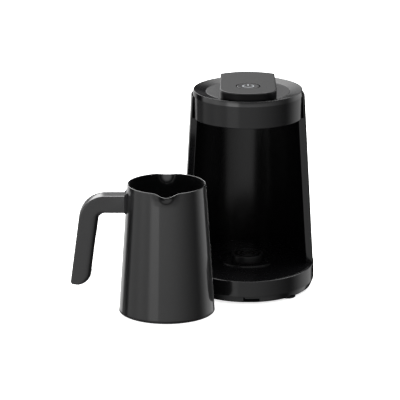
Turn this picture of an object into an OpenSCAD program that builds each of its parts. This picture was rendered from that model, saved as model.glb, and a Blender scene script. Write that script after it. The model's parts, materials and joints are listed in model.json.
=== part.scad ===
// Electric Turkish coffee maker, with its cordless jug standing beside it.
// Millimetres. X runs across the front, Y from front to back, Z up from the table.

/* [Base] */
// Width of the base band
base_w = 131.6; // [124:0.4:146]
// Depth of the base band, front to back
base_d = 151; // [142:1:170]
// Height of the base band
band_h = 21.8; // [21:0.2:32]
// Wall of the base band
band_wall = 2.2; // [1.6:0.1:3]
// Height of the bevel under the base band
band_bevel_h = 6.2; // [3:0.2:7]
// How far that bevel runs in
band_bevel_in = 2.6; // [1.5:0.1:4]
// Thickness of the bay floor
floor_t = 2; // [1.5:0.1:3]
// Thickness of the plate under the base
plate_t = 2.5; // [2:0.1:4]
// Diameter of a rubber foot
foot_d = 16; // [12:0.5:17]
// How far a foot stands out below the base
foot_h = 1.5; // [1:0.1:4]
// Width of the notch in the front bevel
notch_w = 15; // [8:1:24]
// Height of the notch in the front bevel
notch_h = 4.2; // [2:0.2:6]
// Diameter of the mains lead that the inlet bush takes
lead_d = 6.8; // [5:0.1:8]

/* [Shell and bay] */
// Clear height of the bay, from its floor to the cap
bay_h = 147.7; // [134:0.1:190]
// How far the rear shell stands up round the cap
shell_lap = 21.5; // [12:0.5:21.5]
// Wall of the rear shell
shell_wall = 1.2; // [1:0.1:1.6]
// Step in from the band to the shell
shell_step = 0.6; // [0.3:0.1:1.2]
// Width of the edge trims, and the distance from the shell's face to the bay
trim_w = 6.6; // [5.9:0.1:7.5]
// Thickness of the edge trims, front to back
trim_t = 3.5; // [2.5:0.1:6]
// Distance from the axis to the front of the edge trims
trim_front = 11.5; // [6:0.5:20]
// Wall of the bay liner
liner_wall = 1.5; // [1.2:0.1:1.6]

/* [Cap] */
// Diameter of the cap
cap_d = 108.2; // [102:0.2:116]
// Height of the cap's upright side
cap_side_h = 21.8; // [20:0.2:26]
// Height of the bevel above the side
cap_bevel_h = 5; // [3:0.2:7]
// How far that bevel runs in
cap_bevel_in = 0.7; // [0.4:0.1:2]
// Width of the cap's flat rim
cap_rim_w = 0.6; // [0.4:0.1:1.5]
// Wall of the cap
cap_wall = 2; // [1.6:0.1:2.6]
// Thickness of the plate that closes the cap from below
cap_plate_t = 2.5; // [2:0.1:4]
// Diameter of the round inlay on top
dish_d = 82.6; // [78:0.4:90]
// Depth of the inlay below the rim
dish_drop = 2.1; // [1:0.1:3]
// Thickness of the inlay
dish_t = 1.2; // [0.8:0.1:2]
// Gap round the cap inside the shell
shell_gap = 0.5; // [0.3:0.1:1]

/* [Control pod] */
// Width of the pod
pod_w = 55; // [52:0.5:62]
// Width of the pod at its back
pod_back_w = 53.4; // [50:0.5:60]
// Reach of the pod in front of the axis
pod_front = 50; // [46:0.5:50.5]
// Reach of the pod behind the axis
pod_back = 40.5; // [34:0.5:42]
// Radius of the pod's front and back edges
pod_edge_r = 47; // [42:1:60]
// Radius of the pod's front corners
pod_corner_r = 20; // [12:1:22]
// Height of the pod above the inlay
pod_h = 9.6; // [8.6:0.1:13]
// Wall of the pod
pod_wall = 2; // [1.5:0.1:2.5]
// Thickness of the pod's lid
lid_t = 1.5; // [1.2:0.1:2.2]

/* [Power button] */
// Diameter of the button
button_d = 22; // [18:0.5:24]
// Gap round the button
button_gap = 0.4; // [0.3:0.05:0.8]
// Distance of the button in front of the axis
button_y = 19; // [17:0.5:21]
// Travel of the button
button_travel = 1; // [0.5:0.1:1.1]
// Outer diameter of the power sign
sign_d = 8.4; // [6:0.2:12]
// Width of the power sign's lines
sign_line = 1; // [0.6:0.1:1.4]

/* [Connector] */
// Diameter of the connector on the bay floor
hub_d = 32; // [28:0.5:36]
// Height of the connector above the bay floor
hub_h = 7; // [5.5:0.5:8]
// Diameter of the raised ring round the connector
ring_d = 58; // [54:1:66]
// Height of the raised ring
ring_h = 1.4; // [0.6:0.1:1.8]
// Gap between the connector and the jug's socket
socket_gap = 0.5; // [0.3:0.1:1]

/* [Jug] */
// Height of the jug at its rim
jug_h = 127; // [105:0.2:130]
// Diameter of the jug at its foot
jug_foot_d = 93; // [88:0.5:96]
// Diameter of the jug at its rim
jug_rim_d = 75.6; // [68:0.4:84]
// Wall of the jug
jug_wall_t = 1; // [0.8:0.1:1.5]
// Height of the dark ring at the jug's foot
foot_ring_h = 2.6; // [2:0.1:5]
// Height of the cooking floor inside the jug
jug_floor_h = 20; // [19:0.5:26]
// How far a spout reaches out from the rim
spout_reach = 5.5; // [3:0.5:7]
// Height of a spout down from the rim
spout_h = 13; // [9:0.5:20]
// How far the rim dips in a spout
spout_dip = 2.5; // [1:0.5:4]
// Angle of the rim that a spout takes
spout_angle = 46; // [34:2:60]
// Distance of the jug's axis to the left of the machine's
jug_left = 79; // [79:1:120]
// Distance of the jug's axis in front of the machine's
jug_front = 91.5; // [91.5:1:120]

/* [Handle] */
// Height of the handle's arm at its middle
arm_z = 108; // [92:0.5:110]
// Height of the arm's section
arm_h = 17; // [14:0.2:18]
// Distance from the jug's axis to the middle of the bend
bend_x = 58.1; // [56:0.1:66]
// Radius of the bend at the middle of the handle
bend_r = 17; // [14:0.5:20]
// Lean of the grip from upright, in degrees
grip_lean = 7.5; // [0:0.5:12]
// Width of the grip's section
grip_w = 19; // [15:0.2:20]
// Length of the grip below the bend
grip_len = 66.8; // [55:0.2:72]
// Thickness of the handle, across the jug
handle_t = 17; // [15:0.5:22]
// Rounding of the handle's edges
handle_edge = 1.2; // [0.8:0.1:2.5]
// Length of the bracket between the jug and the handle
bracket_len = 2; // [1.6:0.1:6]

/* [Hidden] */

$fn = 96;

// Colours
satin_grey = "#34353a";
gloss_black = "#0b0b0d";
soft_black = "#1b1b1d";
inlay_grey = "#5b5c60";
board_green = "#1f5a3c";
brass = "#c9a24b";
steel = "#b9bbbf";
jug_grey = "#4b4c51";
white = "#e8ecf2";

// Clearances
fit = 0.2;            // between two pieces that seat in each other
slide = 0.1;          // round a screw or a pin in its hole
steps = 96;           // facets round the machine
flare = 0.01;         // how far a cut runs past a face

// Heights of the machine
z_base = foot_h;
z_floor = z_base + band_h;
z_bay_top = z_floor + bay_h;
z_shell_top = z_bay_top + shell_lap;
z_side = z_bay_top + cap_side_h;
z_rim = z_side + cap_bevel_h;
z_inlay = z_rim - dish_drop;
z_deck = z_inlay - dish_t;
z_deck_under = z_deck - cap_wall;
z_plate_top = z_base + plate_t;
z_under_floor = z_floor - floor_t;
z_top = z_inlay + pod_h;
z_lid_under = z_top - lid_t;

// Half-widths (across) and half-depths (front to back) of the machine
band_a = base_w / 2;
band_b = base_d / 2;
foot_a = band_a - shell_step;
foot_b = band_b - shell_step;
cap_r = cap_d / 2;
cap_in_r = cap_r - cap_wall;
rim_r = cap_r - cap_bevel_in;
shell_top_r = cap_r + shell_gap + shell_wall;
dish_r = dish_d / 2;
ledge = 2.8;                        // width of the ledge that carries the bay floor
ledge_t = 2;
floor_in = band_wall + fit;         // how far the floor's edge is set in from the band
bevel_wall = band_bevel_in + band_wall;
plate_in = bevel_wall + fit;

// The shell's outer face is an ellipse at the base and a circle at the top
function mix(a, b, u) = a + (b - a) * u;
function up_shell(z) = (z - z_floor) / (z_shell_top - z_floor);
function shell_a(z) = mix(foot_a, shell_top_r, up_shell(z));
function shell_b(z) = mix(foot_b, shell_top_r, up_shell(z));

// Points of the ellipse that lies inset within the shell at height z,
// round the back from y_cut on the right to y_cut on the left
function wrap_angle(inset, z, y_cut) = asin(y_cut / (shell_b(z) - inset));
function wrap_point(inset, z, y_cut, u) =
    let (from = wrap_angle(inset, z, y_cut), t = mix(from, 180 - from, u))
    [(shell_a(z) - inset) * cos(t), (shell_b(z) - inset) * sin(t), z];
function side_x(inset, z, y) =
    (shell_a(z) - inset) * sqrt(1 - pow(y / (shell_b(z) - inset), 2));

// Row of points on a plain ellipse
function ellipse_points(a, b) = [for (i = [0 : steps - 1])
    let (t = 360 * i / steps) [a * cos(t), b * sin(t)]];

// Triangles of an end face: a strip between the first and the second half of its m points
function end_face(m) = concat(
    [for (i = [0 : floor(m / 2) - 2]) each [[i, i + 1, m - 2 - i], [i, m - 2 - i, m - 1 - i]]],
    m % 2 == 0 ? [] : [[floor(m / 2) - 1, floor(m / 2), floor(m / 2) + 1]]);

// Skin over a row of sections that have the same number of points
module skin(sections, closed = false) {
    n = len(sections);
    m = len(sections[0]);
    last = closed ? n - 1 : n - 2;
    sides = [for (i = [0 : last], j = [0 : m - 1])
        let (a = i * m + j, b = i * m + (j + 1) % m, k = ((i + 1) % n) * m)
        each [[a, b, k + (j + 1) % m], [a, k + (j + 1) % m, k + j]]];
    front = [for (t = end_face(m)) [t[2], t[1], t[0]]];
    back = [for (t = end_face(m)) [for (j = t) (n - 1) * m + j]];
    polyhedron([for (s = sections) each s], concat(closed ? [] : concat(front, back), sides));
}

// Profile of [inset, z] points swept round the back of the machine
module wrap(profile, y_cut, pieces = 64) {
    skin([for (i = [0 : pieces]) [for (p = profile) wrap_point(p[0], p[1], y_cut, i / pieces)]]);
}

// Profile of [inset, z] points swept right round the base
module ring(profile) {
    skin([for (i = [0 : steps - 1]) [for (p = profile)
        [(band_a - p[0]) * cos(360 * i / steps), (band_b - p[0]) * sin(360 * i / steps), p[1]]]], true);
}

module plate(inset, z, t) {
    translate([0, 0, z]) linear_extrude(t) polygon(ellipse_points(band_a - inset, band_b - inset));
}

// The same piece at each corner of a rectangle
module at_corners(x, y) {
    for (sx = [-1, 1], sy = [-1, 1]) translate([sx * x, sy * y, 0]) children();
}

module rod(r, z, h) {
    translate([0, 0, z]) cylinder(r = r, h = h);
}

module block(size, centre, z) {
    translate([centre[0] - size[0] / 2, centre[1] - size[1] / 2, z]) cube(size);
}

// Pan-head screw, head down at z, shank up
module screw(head_r, head_h, shank_r, length, z) {
    difference() {
        union() {
            rod(head_r, z, head_h);
            rod(shank_r, z + head_h, length);
        }
        for (turn = [0, 90]) rotate(turn)
            block([head_r * 1.1, head_r * 0.24, head_h * 0.5], [0, 0], z - flare);
    }
}

// Base ----------------------------------------------------------------------

base_screw_x = band_a - 19.5;
base_screw_y = 14;
base_boss_r = 4;
base_screw_r = 1.5;
base_head_r = 3;
base_head_h = 1.8;
base_head_sink = 0.5;
base_screw_len = 12;
foot_x = band_a - 27;
foot_y = band_b - 27;
foot_stud_r = 3.8;
foot_sink = 1;
foot_edge = 0.6;
notch_x = 3.5;
bush_r = lead_d / 2 + 1.8;
bush_collar_r = bush_r + 1;
bush_collar_t = 3;
bush_collar_in = 4.8;               // clear of the band's inner slopes above and below
inlet_z = (z_base + band_bevel_h + 1 + z_under_floor - ledge_t - ledge) / 2;
bush_out = 0.5;                     // how far the bush's mouth lies inside the band's face
bush_len = 10;
harness_r = 1.4;
harness_slot = 2 * harness_r + 2;
harness_angle = 80;                 // where the wires climb, round from the right
lane_in = shell_wall + (trim_w - liner_wall - shell_wall) / 2;

// Middle of the gap between the shell and the liner, where the wires climb
function lane(z) = [(shell_a(z) - lane_in) * cos(harness_angle), (shell_b(z) - lane_in) * sin(harness_angle), z];

// Way for the wires through a piece that crosses the gap, from inward to outward of their middle
module harness_channel(z, h, inward, outward) {
    at = lane(z);
    block([harness_slot, inward + outward, h], [at[0], at[1] + (outward - inward) / 2], z);
}

module base_band() color(satin_grey) {
    bevel_top = z_base + band_bevel_h;
    lip = 0.5;
    difference() {
        ring([
            [band_bevel_in, z_base], [lip * 0.4, bevel_top - 0.6], [0, bevel_top + 0.4],
            [0, z_floor - lip], [lip * 0.3, z_floor - lip * 0.3], [lip, z_floor],
            [band_wall, z_floor], [band_wall, z_under_floor],
            [band_wall + ledge, z_under_floor], [band_wall + ledge, z_under_floor - ledge_t],
            [band_wall, z_under_floor - ledge_t - ledge], [band_wall, bevel_top + 1], [bevel_wall, z_base]
        ]);
        harness_channel(z_under_floor - ledge_t - ledge - 1, floor_t + ledge_t + ledge + 2,
                        harness_slot, lane_in - shell_wall);
        translate([notch_x - notch_w / 2, -band_b - 1, z_base - 1])
            cube([notch_w, band_bevel_in + 1.6, notch_h + 1]);
        translate([0, band_b - band_wall - 6, inlet_z]) rotate([-90, 0, 0])
            cylinder(r = bush_r + fit / 2, h = band_wall + 8);
    }
}

module base_plate() color(soft_black) {
    difference() {
        union() {
            plate(plate_in, z_base, plate_t);
            at_corners(board_w / 2 - board_hole_in, board_d / 2 - board_hole_in)
                translate([0, board_y, 0]) rod(2.5, z_plate_top, board_stand);
        }
        at_corners(base_screw_x, base_screw_y) {
            rod(base_head_r + slide, z_base - 1, base_head_sink + base_head_h + 1);
            rod(base_screw_r + slide, z_base, plate_t + 1);
        }
        at_corners(foot_x, foot_y) rod(foot_stud_r + slide, z_base - 1, foot_sink + 1);
        for (i = [-3 : 3]) block([2.4, vent_len, plate_t + 2], [i * 6, -12], z_base - 1);
    }
}
vent_len = 30;

module rubber_feet() color(soft_black) {
    at_corners(foot_x, foot_y) difference() {
        union() {
            cylinder(r1 = foot_d / 2 - foot_edge, r2 = foot_d / 2, h = foot_edge);
            rod(foot_d / 2, foot_edge, foot_h - foot_edge);
            rod(foot_stud_r, foot_h - flare, foot_sink + flare);
        }
        rod(foot_d / 4, -flare, 0.4);
    }
}

module base_screws() color(steel) {
    at_corners(base_screw_x, base_screw_y)
        screw(base_head_r, base_head_h, base_screw_r, base_screw_len, z_base + base_head_sink);
}

module cord_inlet_bush() color(soft_black) {
    mouth_y = band_b - bush_out;
    difference() {
        translate([0, mouth_y, inlet_z]) rotate([90, 0, 0]) union() {
            cylinder(r = bush_r, h = bush_len);
            translate([0, 0, bush_collar_in - bush_out]) cylinder(r = bush_collar_r, h = bush_collar_t);
        }
        translate([0, mouth_y + 1, inlet_z]) rotate([90, 0, 0]) cylinder(d = lead_d, h = bush_len + 2);
    }
}

// Power electronics in the base
board_w = 52;
board_d = 32;
board_t = 1.6;
board_stand = 3.5;
board_hole_in = 4;
board_y = 40;
board_z = z_plate_top + board_stand;
plug_size = [8, 6, 5];              // plug of the wires
plug_in = 2;                        // how far a plug lies inside the board's side
plug_at = [board_w / 2 - plug_in - plug_size[0] / 2, board_y + 9];
inlet_size = [10, 7, 8];            // terminals of the mains lead
inlet_at = [inlet_size[0] / 2 + 1 - board_w / 2, board_y + 10];
parts_top = z_under_floor - 1;      // highest point that the parts on the board may reach

module power_board() color(board_green) {
    block([board_w, board_d, board_t], [0, board_y], board_z);
    block(inlet_size, inlet_at, board_z + board_t);
    block(plug_size, plug_at, board_z + board_t);
}

module relay() color("#20407a") {
    block([15, 18, min(10, parts_top - board_z - board_t)], [-8, board_y - 5], board_z + board_t);
}

module transformer() color("#c7b23a") {
    block([16, 18, min(9, parts_top - board_z - board_t)], [12, board_y - 5], board_z + board_t);
}

// Wires from the board's plug, up behind the liner and into the cap
module wiring_harness() color("#7a1f1f") {
    plug_z = board_z + board_t + plug_size[2] / 2;
    out_z = z_bay_top + cap_plate_t + harness_r + 1.4;
    low = lane(z_floor);
    high = lane(z_bay_top);
    socket = [logic_plug_at[0], logic_plug_at[1] - button_y, logic_z - logic_plug[2]];
    route = concat(
        [[plug_at[0], plug_at[1] + plug_size[1] / 2 + fit, plug_z],
         [plug_at[0], plug_at[1] + plug_size[1] / 2 + 4, plug_z],
         [mix(plug_at[0], low[0], 0.4), low[1] - 10, plug_z + 1],
         [mix(plug_at[0], low[0], 0.85), low[1] - 5, plug_z + 2.5],
         [low[0], low[1] - 1.2, z_under_floor - 5.5]],
        [for (i = [0 : 6]) lane(mix(z_under_floor - 2, z_bay_top - 5, i / 6))],
        [lane(z_bay_top - 1),
         [high[0], high[1] - 1.2, out_z - 2.2],
         [high[0], high[1] - 4, out_z - 0.2],
         [high[0], high[1] - 9, out_z + 0.4],
         [mix(high[0], socket[0], 0.3), 34, out_z + 2],
         [mix(high[0], socket[0], 0.5), 20, out_z + 5],
         [mix(high[0], socket[0], 0.8), 6, socket[2] - 6],
         [socket[0], socket[1] + 6, socket[2] - 4],
         [socket[0], socket[1] + 1, socket[2] - 2.6],
         [socket[0], socket[1], socket[2] - fit]]
    );
    tube(curve(route, 3), harness_r, 8);
}

// Catmull-Rom curve through the points, and a round tube along it
function curve_point(a, b, c, d, t) =
    0.5 * (2 * b + (c - a) * t + (2 * a - 5 * b + 4 * c - d) * t * t + (3 * b - a - 3 * c + d) * t * t * t);
function curve(p, cuts) = concat(
    [for (i = [0 : len(p) - 2], k = [0 : cuts - 1])
        curve_point(p[max(i - 1, 0)], p[i], p[i + 1], p[min(i + 2, len(p) - 1)], k / cuts)],
    [p[len(p) - 1]]);
function unit(v) = v / norm(v);
function tangent(p, i) = unit(p[min(i + 1, len(p) - 1)] - p[max(i - 1, 0)]);
module tube(p, r, sides) {
    skin([for (i = [0 : len(p) - 1])
        let (t = tangent(p, i), u = unit(cross([1, 0, 0], t)), v = cross(t, u))
        [for (j = [0 : sides - 1]) p[i] + r * (cos(360 * j / sides) * u + sin(360 * j / sides) * v)]]);
}

// Bay floor and connector ----------------------------------------------------

hub_flange_r = hub_d / 2 + 8;
hub_flange_t = 2;
hub_under = 6;                      // depth of the connector below the floor
hub_hole_r = hub_d / 2 + fit;
groove_r = [hub_d / 2 - 5.6, hub_d / 2 - 3.2];
groove2_r = [hub_d / 2 - 10.6, hub_d / 2 - 8.2];
groove_depth = hub_h - 1.6;
pin_hole_r = 2.6;
pin_r = 1.8;
meet_h = hub_h * 0.62;              // height above the bay floor where the contacts meet
meet_gap = 0.1;
contact_t = 0.6;

module bay_floor() color(gloss_black) {
    ring_w = 2;
    difference() {
        union() {
            plate(floor_in, z_under_floor, floor_t);
            difference() {
                rod(ring_d / 2, z_floor - flare, ring_h + flare);
                rod(ring_d / 2 - ring_w, z_floor - 1, ring_h + 2);
            }
            at_corners(base_screw_x, base_screw_y)
                rod(base_boss_r, z_plate_top, z_under_floor - z_plate_top + flare);
        }
        rod(hub_hole_r, z_under_floor - 1, floor_t + 2);
        at_corners(base_screw_x, base_screw_y) rod(base_screw_r + slide / 2, z_plate_top - 1, base_screw_len + 2);
        harness_channel(z_under_floor - 1, floor_t + 2, harness_slot / 2, harness_slot / 2);
    }
}

module connector_hub() color(soft_black) {
    round_in = 1;
    rotate_extrude() polygon([
        [pin_hole_r, z_under_floor - hub_under], [hub_flange_r - 6, z_under_floor - hub_under],
        [hub_flange_r - 6, z_under_floor - hub_flange_t], [hub_flange_r, z_under_floor - hub_flange_t],
        [hub_flange_r, z_under_floor], [hub_d / 2, z_under_floor],
        [hub_d / 2, z_floor + hub_h - round_in], [hub_d / 2 - round_in, z_floor + hub_h],
        [groove_r[1], z_floor + hub_h], [groove_r[1], z_floor + hub_h - groove_depth],
        [groove_r[0], z_floor + hub_h - groove_depth], [groove_r[0], z_floor + hub_h],
        [groove2_r[1], z_floor + hub_h], [groove2_r[1], z_floor + hub_h - groove_depth],
        [groove2_r[0], z_floor + hub_h - groove_depth], [groove2_r[0], z_floor + hub_h],
        [pin_hole_r, z_floor + hub_h]
    ]);
}

module hoop(r_in, r_out, z, h) {
    difference() {
        rod(r_out, z, h);
        rod(r_in, z - 1, h + 2);
    }
}

module hub_contacts() color(brass) {
    bottom = z_floor + hub_h - groove_depth;
    for (g = [groove_r, groove2_r]) hoop(g[0] + 0.3, g[1] - 0.3, bottom, z_floor + meet_h - bottom);
    rod(pin_r, z_under_floor - hub_under, floor_t + hub_under + hub_h - 1);
    hoop(pin_r - flare, pin_hole_r - slide / 2, z_under_floor - hub_under, 2);
}

// Shell, liner and trims -----------------------------------------------------

module rear_shell() color(gloss_black) {
    soft = 0.4;
    difference() {
        wrap([[0, z_floor], [0, z_shell_top - soft], [soft, z_shell_top],
              [shell_wall, z_shell_top], [shell_wall, z_floor]], -trim_front);
        // Room for the edge trims below the cap
        translate([-band_a, -trim_front - 1, z_floor - 1]) cube([base_w, trim_t + 1, bay_h + 1]);
    }
}

module bay_liner() color(gloss_black) {
    flange_t = 1.6;
    flange_in = shell_wall + fit;
    back = trim_w - liner_wall;
    difference() {
        wrap([[back, z_floor], [back, z_bay_top - 2 * flange_t], [flange_in, z_bay_top - flange_t],
              [flange_in, z_bay_top], [trim_w, z_bay_top], [trim_w, z_floor]], -trim_front + trim_t);
        // Way for the wires through the flange
        harness_channel(z_bay_top - 2.5 * flange_t, 3 * flange_t, back - lane_in + fit, harness_slot);
    }
}

// Upright bar on the right, in front of the shell's and the liner's ends
module edge_trim(side) {
    bar = function(z) [[side_x(trim_w, z, -trim_front), -trim_front, z],
                       [side_x(0, z, -trim_front), -trim_front, z],
                       [side_x(0, z, -trim_front + trim_t), -trim_front + trim_t, z],
                       [side_x(trim_w, z, -trim_front + trim_t), -trim_front + trim_t, z]];
    mirror([side < 0 ? 1 : 0, 0, 0]) skin([bar(z_floor), bar(z_bay_top)]);
}
module edge_trim_left() color(satin_grey) edge_trim(-1);
module edge_trim_right() color(satin_grey) edge_trim(1);

// Cap -------------------------------------------------------------------------

cap_boss_at = 30.5;
cap_boss_r = 3.6;
cap_screw_r = 1.4;
cap_head_r = 2.8;
cap_head_h = 1.2;
cap_screw_len = 9;
opening_w = 39;
opening_d = 31;
pod_screw_x = 19;
pod_screw_y = 24;
pod_boss_r = 3.2;
pod_screw_r = 1.2;
sensor_r = 7;

module cap_housing() color(satin_grey) {
    difference() {
        union() {
            rotate_extrude() polygon([
                [cap_in_r, z_bay_top], [cap_r, z_bay_top], [cap_r, z_side], [rim_r, z_rim],
                [rim_r - cap_rim_w, z_rim], [dish_r, z_inlay], [dish_r, z_deck], [0, z_deck],
                [0, z_deck_under], [dish_r, z_deck_under], [cap_in_r - 1, z_side], [cap_in_r, z_side - 2]
            ]);
            at_corners(cap_boss_at, cap_boss_at)
                rod(cap_boss_r, z_bay_top + cap_plate_t, z_deck_under - z_bay_top - cap_plate_t + 0.5);
        }
        block([opening_w, opening_d, cap_wall + 2], [0, -button_y], z_deck_under - 1);
        at_corners(cap_boss_at, cap_boss_at) rod(cap_screw_r + slide / 2, z_bay_top, cap_plate_t + cap_screw_len);
        for (x = [-pod_screw_x, pod_screw_x]) translate([x, pod_screw_y, 0])
            rod(pod_screw_r + slide, z_deck_under - 1, cap_wall + 2);
        // Way in for the wires, hidden behind the shell
        block([harness_slot, cap_wall + 6, cap_plate_t + 2 * harness_r + 3],
              lane(z_bay_top) - [0, 3, 0], z_bay_top - 1);
    }
}

module cap_plate() color(soft_black) {
    difference() {
        rod(cap_in_r - fit, z_bay_top, cap_plate_t);
        at_corners(cap_boss_at, cap_boss_at) {
            rod(cap_head_r + slide, z_bay_top - 1, cap_head_h + 1.2);
            rod(cap_screw_r + slide, z_bay_top, cap_plate_t + 1);
        }
        rod(sensor_r + slide, z_bay_top - 1, cap_plate_t + 2);
        block([harness_slot, 4, cap_plate_t + 2], lane(z_bay_top) - [0, 3, 0], z_bay_top - 1);
    }
}

module cap_screws() color(steel) {
    at_corners(cap_boss_at, cap_boss_at)
        screw(cap_head_r, cap_head_h, cap_screw_r, cap_screw_len - 1, z_bay_top + 0.2);
}

module cap_inlay() color(inlay_grey) {
    difference() {
        rod(dish_r - slide, z_deck, dish_t);
        block([opening_w, opening_d, dish_t + 2], [0, -button_y], z_deck - 1);
        for (x = [-pod_screw_x, pod_screw_x]) translate([x, pod_screw_y, 0])
            rod(pod_screw_r + slide, z_deck - 1, dish_t + 2);
    }
}

module sensor_window() color("#301018") {
    rod(sensor_r, z_bay_top, cap_plate_t - 0.6);
}

module foam_sensor() color(board_green) {
    block([22, 16, 1.6], [0, 0], z_bay_top + cap_plate_t);
    rod(3, z_bay_top + cap_plate_t - 0.6, 0.6 + flare);
    block([6, 5, 4], [-6, 4], z_bay_top + cap_plate_t + 1.6);
}

// Control pod -----------------------------------------------------------------

// Outline of the pod set in by d: points with outward normals, worked out from
// tangent arcs in front and one arc at the back
corner_x = pod_w / 2 - pod_corner_r;
front_centre = pod_edge_r - pod_front;
corner_y = front_centre - sqrt(pow(pod_edge_r - pod_corner_r, 2) - corner_x * corner_x);
corner_angle = atan2(corner_y - front_centre, corner_x);
back_centre = pod_back - pod_edge_r;
back_x = pod_back_w / 2;
back_y = back_centre + sqrt(pod_edge_r * pod_edge_r - back_x * back_x);
back_angle = atan2(back_y - back_centre, back_x);

function arc(c, r, from, to, n) = [for (i = [0 : n])
    let (t = mix(from, to, i / n), d = [cos(t), sin(t)]) [c + r * d, d]];
function pod_points() = concat(
    arc([0, front_centre], pod_edge_r, -180 - corner_angle, corner_angle, 12),
    arc([corner_x, corner_y], pod_corner_r, corner_angle, 0, 8),
    arc([0, back_centre], pod_edge_r, back_angle, 180 - back_angle, 14),
    arc([-corner_x, corner_y], pod_corner_r, 180, 180 - corner_angle, 8));
function pod_outline(d) = [for (p = pod_points()) p[0] - d * p[1]];

module pod_shape(d, z, h) {
    translate([0, 0, z]) linear_extrude(h) polygon(pod_outline(d));
}

module pod_housing() color(gloss_black) {
    difference() {
        union() {
            difference() {
                pod_shape(0, z_inlay, z_lid_under - z_inlay);
                pod_shape(pod_wall, z_inlay - 1, pod_h + 2);
            }
            for (side = [-1, 1]) translate([side * pod_screw_x, pod_screw_y, 0]) {
                rod(pod_boss_r, z_inlay, z_lid_under - z_inlay);
                // Rib that ties the boss to the pod's wall
                block([pod_back_w / 2 - pod_screw_x, 1.6, z_lid_under - z_inlay],
                      [side * (pod_back_w / 2 - pod_screw_x) / 2, 0], z_inlay);
            }
        }
        for (x = [-pod_screw_x, pod_screw_x]) translate([x, pod_screw_y, 0])
            rod(pod_screw_r + slide / 2, z_inlay - 1, z_lid_under - z_inlay);
        // The front of the pod rides over the cap's sloping ring
        rotate_extrude() polygon([[dish_r, z_inlay - 1], [rim_r, z_inlay - 1], [rim_r, z_rim + fit],
                                  [rim_r - cap_rim_w, z_rim + fit], [dish_r, z_inlay + fit]]);
    }
}

board_boss_r = 2.4;
board_boss_x = 16.5;
board_boss_dy = 12.5;
board_gap = 4.8;                    // from the pod's lid down to the board
logic_w = 42;
logic_d = 34;
logic_z = z_lid_under - board_gap - board_t;
logic_plug = [9, 5, 3];
logic_plug_at = [-12, 1.5];
board_screw_r = 1;
board_head_r = 2;
board_head_h = 1.2;

module pod_lid() color(satin_grey) {
    difference() {
        union() {
            pod_shape(0, z_lid_under, lid_t);
            translate([0, -button_y, 0]) at_corners(board_boss_x, board_boss_dy)
                rod(board_boss_r, z_lid_under - board_gap, board_gap + flare);
        }
        translate([0, -button_y, 0]) {
            rod(button_d / 2 + button_gap, z_lid_under - 1, lid_t + 2);
            at_corners(board_boss_x, board_boss_dy)
                rod(board_screw_r + slide / 2, z_lid_under - board_gap - 1, board_gap);
        }
    }
}

pod_head_h = 1.4;
pod_screw_len = cap_wall + dish_t + 5;

module pod_screws() color(steel) {
    for (x = [-pod_screw_x, pod_screw_x]) translate([x, pod_screw_y, 0])
        screw(2.4, pod_head_h, pod_screw_r, pod_screw_len, z_deck_under - pod_head_h);
}

module control_board() color(board_green) {
    translate([0, -button_y, 0]) {
        difference() {
            block([logic_w, logic_d, board_t], [0, 0], logic_z);
            at_corners(board_boss_x, board_boss_dy) rod(board_screw_r + slide, logic_z - 1, board_t + 2);
        }
        block([7, 7, 1.2], [-9, 7.5], logic_z + board_t);
        block(logic_plug, logic_plug_at, logic_z - logic_plug[2]);
    }
}

module board_screws() color(steel) {
    translate([0, -button_y, 0]) at_corners(board_boss_x, board_boss_dy)
        screw(board_head_r, board_head_h, board_screw_r, board_t + 3, logic_z - board_head_h);
}

button_flange_gap = 0.3;            // from the button's flange up to the lid
button_flange_t = 1;
button_flange_w = 1.2;
plunger_r = 1.75;
switch_floor = 0.6;
switch_h = board_gap - button_flange_gap - button_flange_t - button_travel - fit;

module tact_switch() color("#222222") {
    translate([0, -button_y, 0]) difference() {
        block([6.2, 6.2, switch_h], [0, 0], logic_z + board_t);
        rod(plunger_r + slide, logic_z + board_t + switch_floor, switch_h);
    }
}

module buzzer() color("#111111") {
    translate([8, -button_y + 4, 0]) difference() {
        rod(6, logic_z - 4, 4);
        rod(1, logic_z - 4 - flare, 1);
    }
}

module sign_shape(grow) {
    sign_r = sign_d / 2;
    gap_angle = 60;
    rotate(90 + gap_angle / 2) rotate_extrude(angle = 360 - gap_angle)
        translate([sign_r - sign_line - grow, 0]) square([sign_line + 2 * grow, sign_depth + grow]);
    translate([-sign_line / 2 - grow, sign_r * 0.2 - grow, 0])
        cube([sign_line + 2 * grow, sign_r + 2 * grow, sign_depth + grow]);
}
sign_depth = 0.4;

module power_button() color(satin_grey) {
    edge = 0.3;
    translate([0, -button_y, 0]) difference() {
        union() {
            rod(button_d / 2, z_lid_under - button_flange_gap - flare, lid_t + button_flange_gap - edge + flare);
            translate([0, 0, z_top - edge]) cylinder(r1 = button_d / 2, r2 = button_d / 2 - edge, h = edge);
            rod(button_d / 2 + button_gap + button_flange_w,
                z_lid_under - button_flange_gap - button_flange_t, button_flange_t);
        }
        translate([0, 0, z_top - sign_depth]) sign_shape(0.02);
    }
}

module power_sign() color(white) {
    translate([0, -button_y, z_top - sign_depth]) sign_shape(0);
}

module switch_plunger() color("#caa23a") {
    top = z_lid_under - button_flange_gap - button_flange_t;
    bottom = logic_z + board_t + switch_floor + button_travel + 0.2;
    translate([0, -button_y, 0]) rod(plunger_r, bottom, top - bottom);
}

// Jug ---------------------------------------------------------------------------

jug_foot_r = jug_foot_d / 2;
jug_rim_r = jug_rim_d / 2;
function cone_r(z) = mix(jug_foot_r, jug_rim_r, z / jug_h);
function near_spout(t) = min(abs(t - 90), abs(t - 270)) / (spout_angle / 2);
function spout_share(t) = near_spout(t) >= 1 ? 0 : pow((1 + cos(180 * near_spout(t))) / 2, 1.3);
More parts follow.
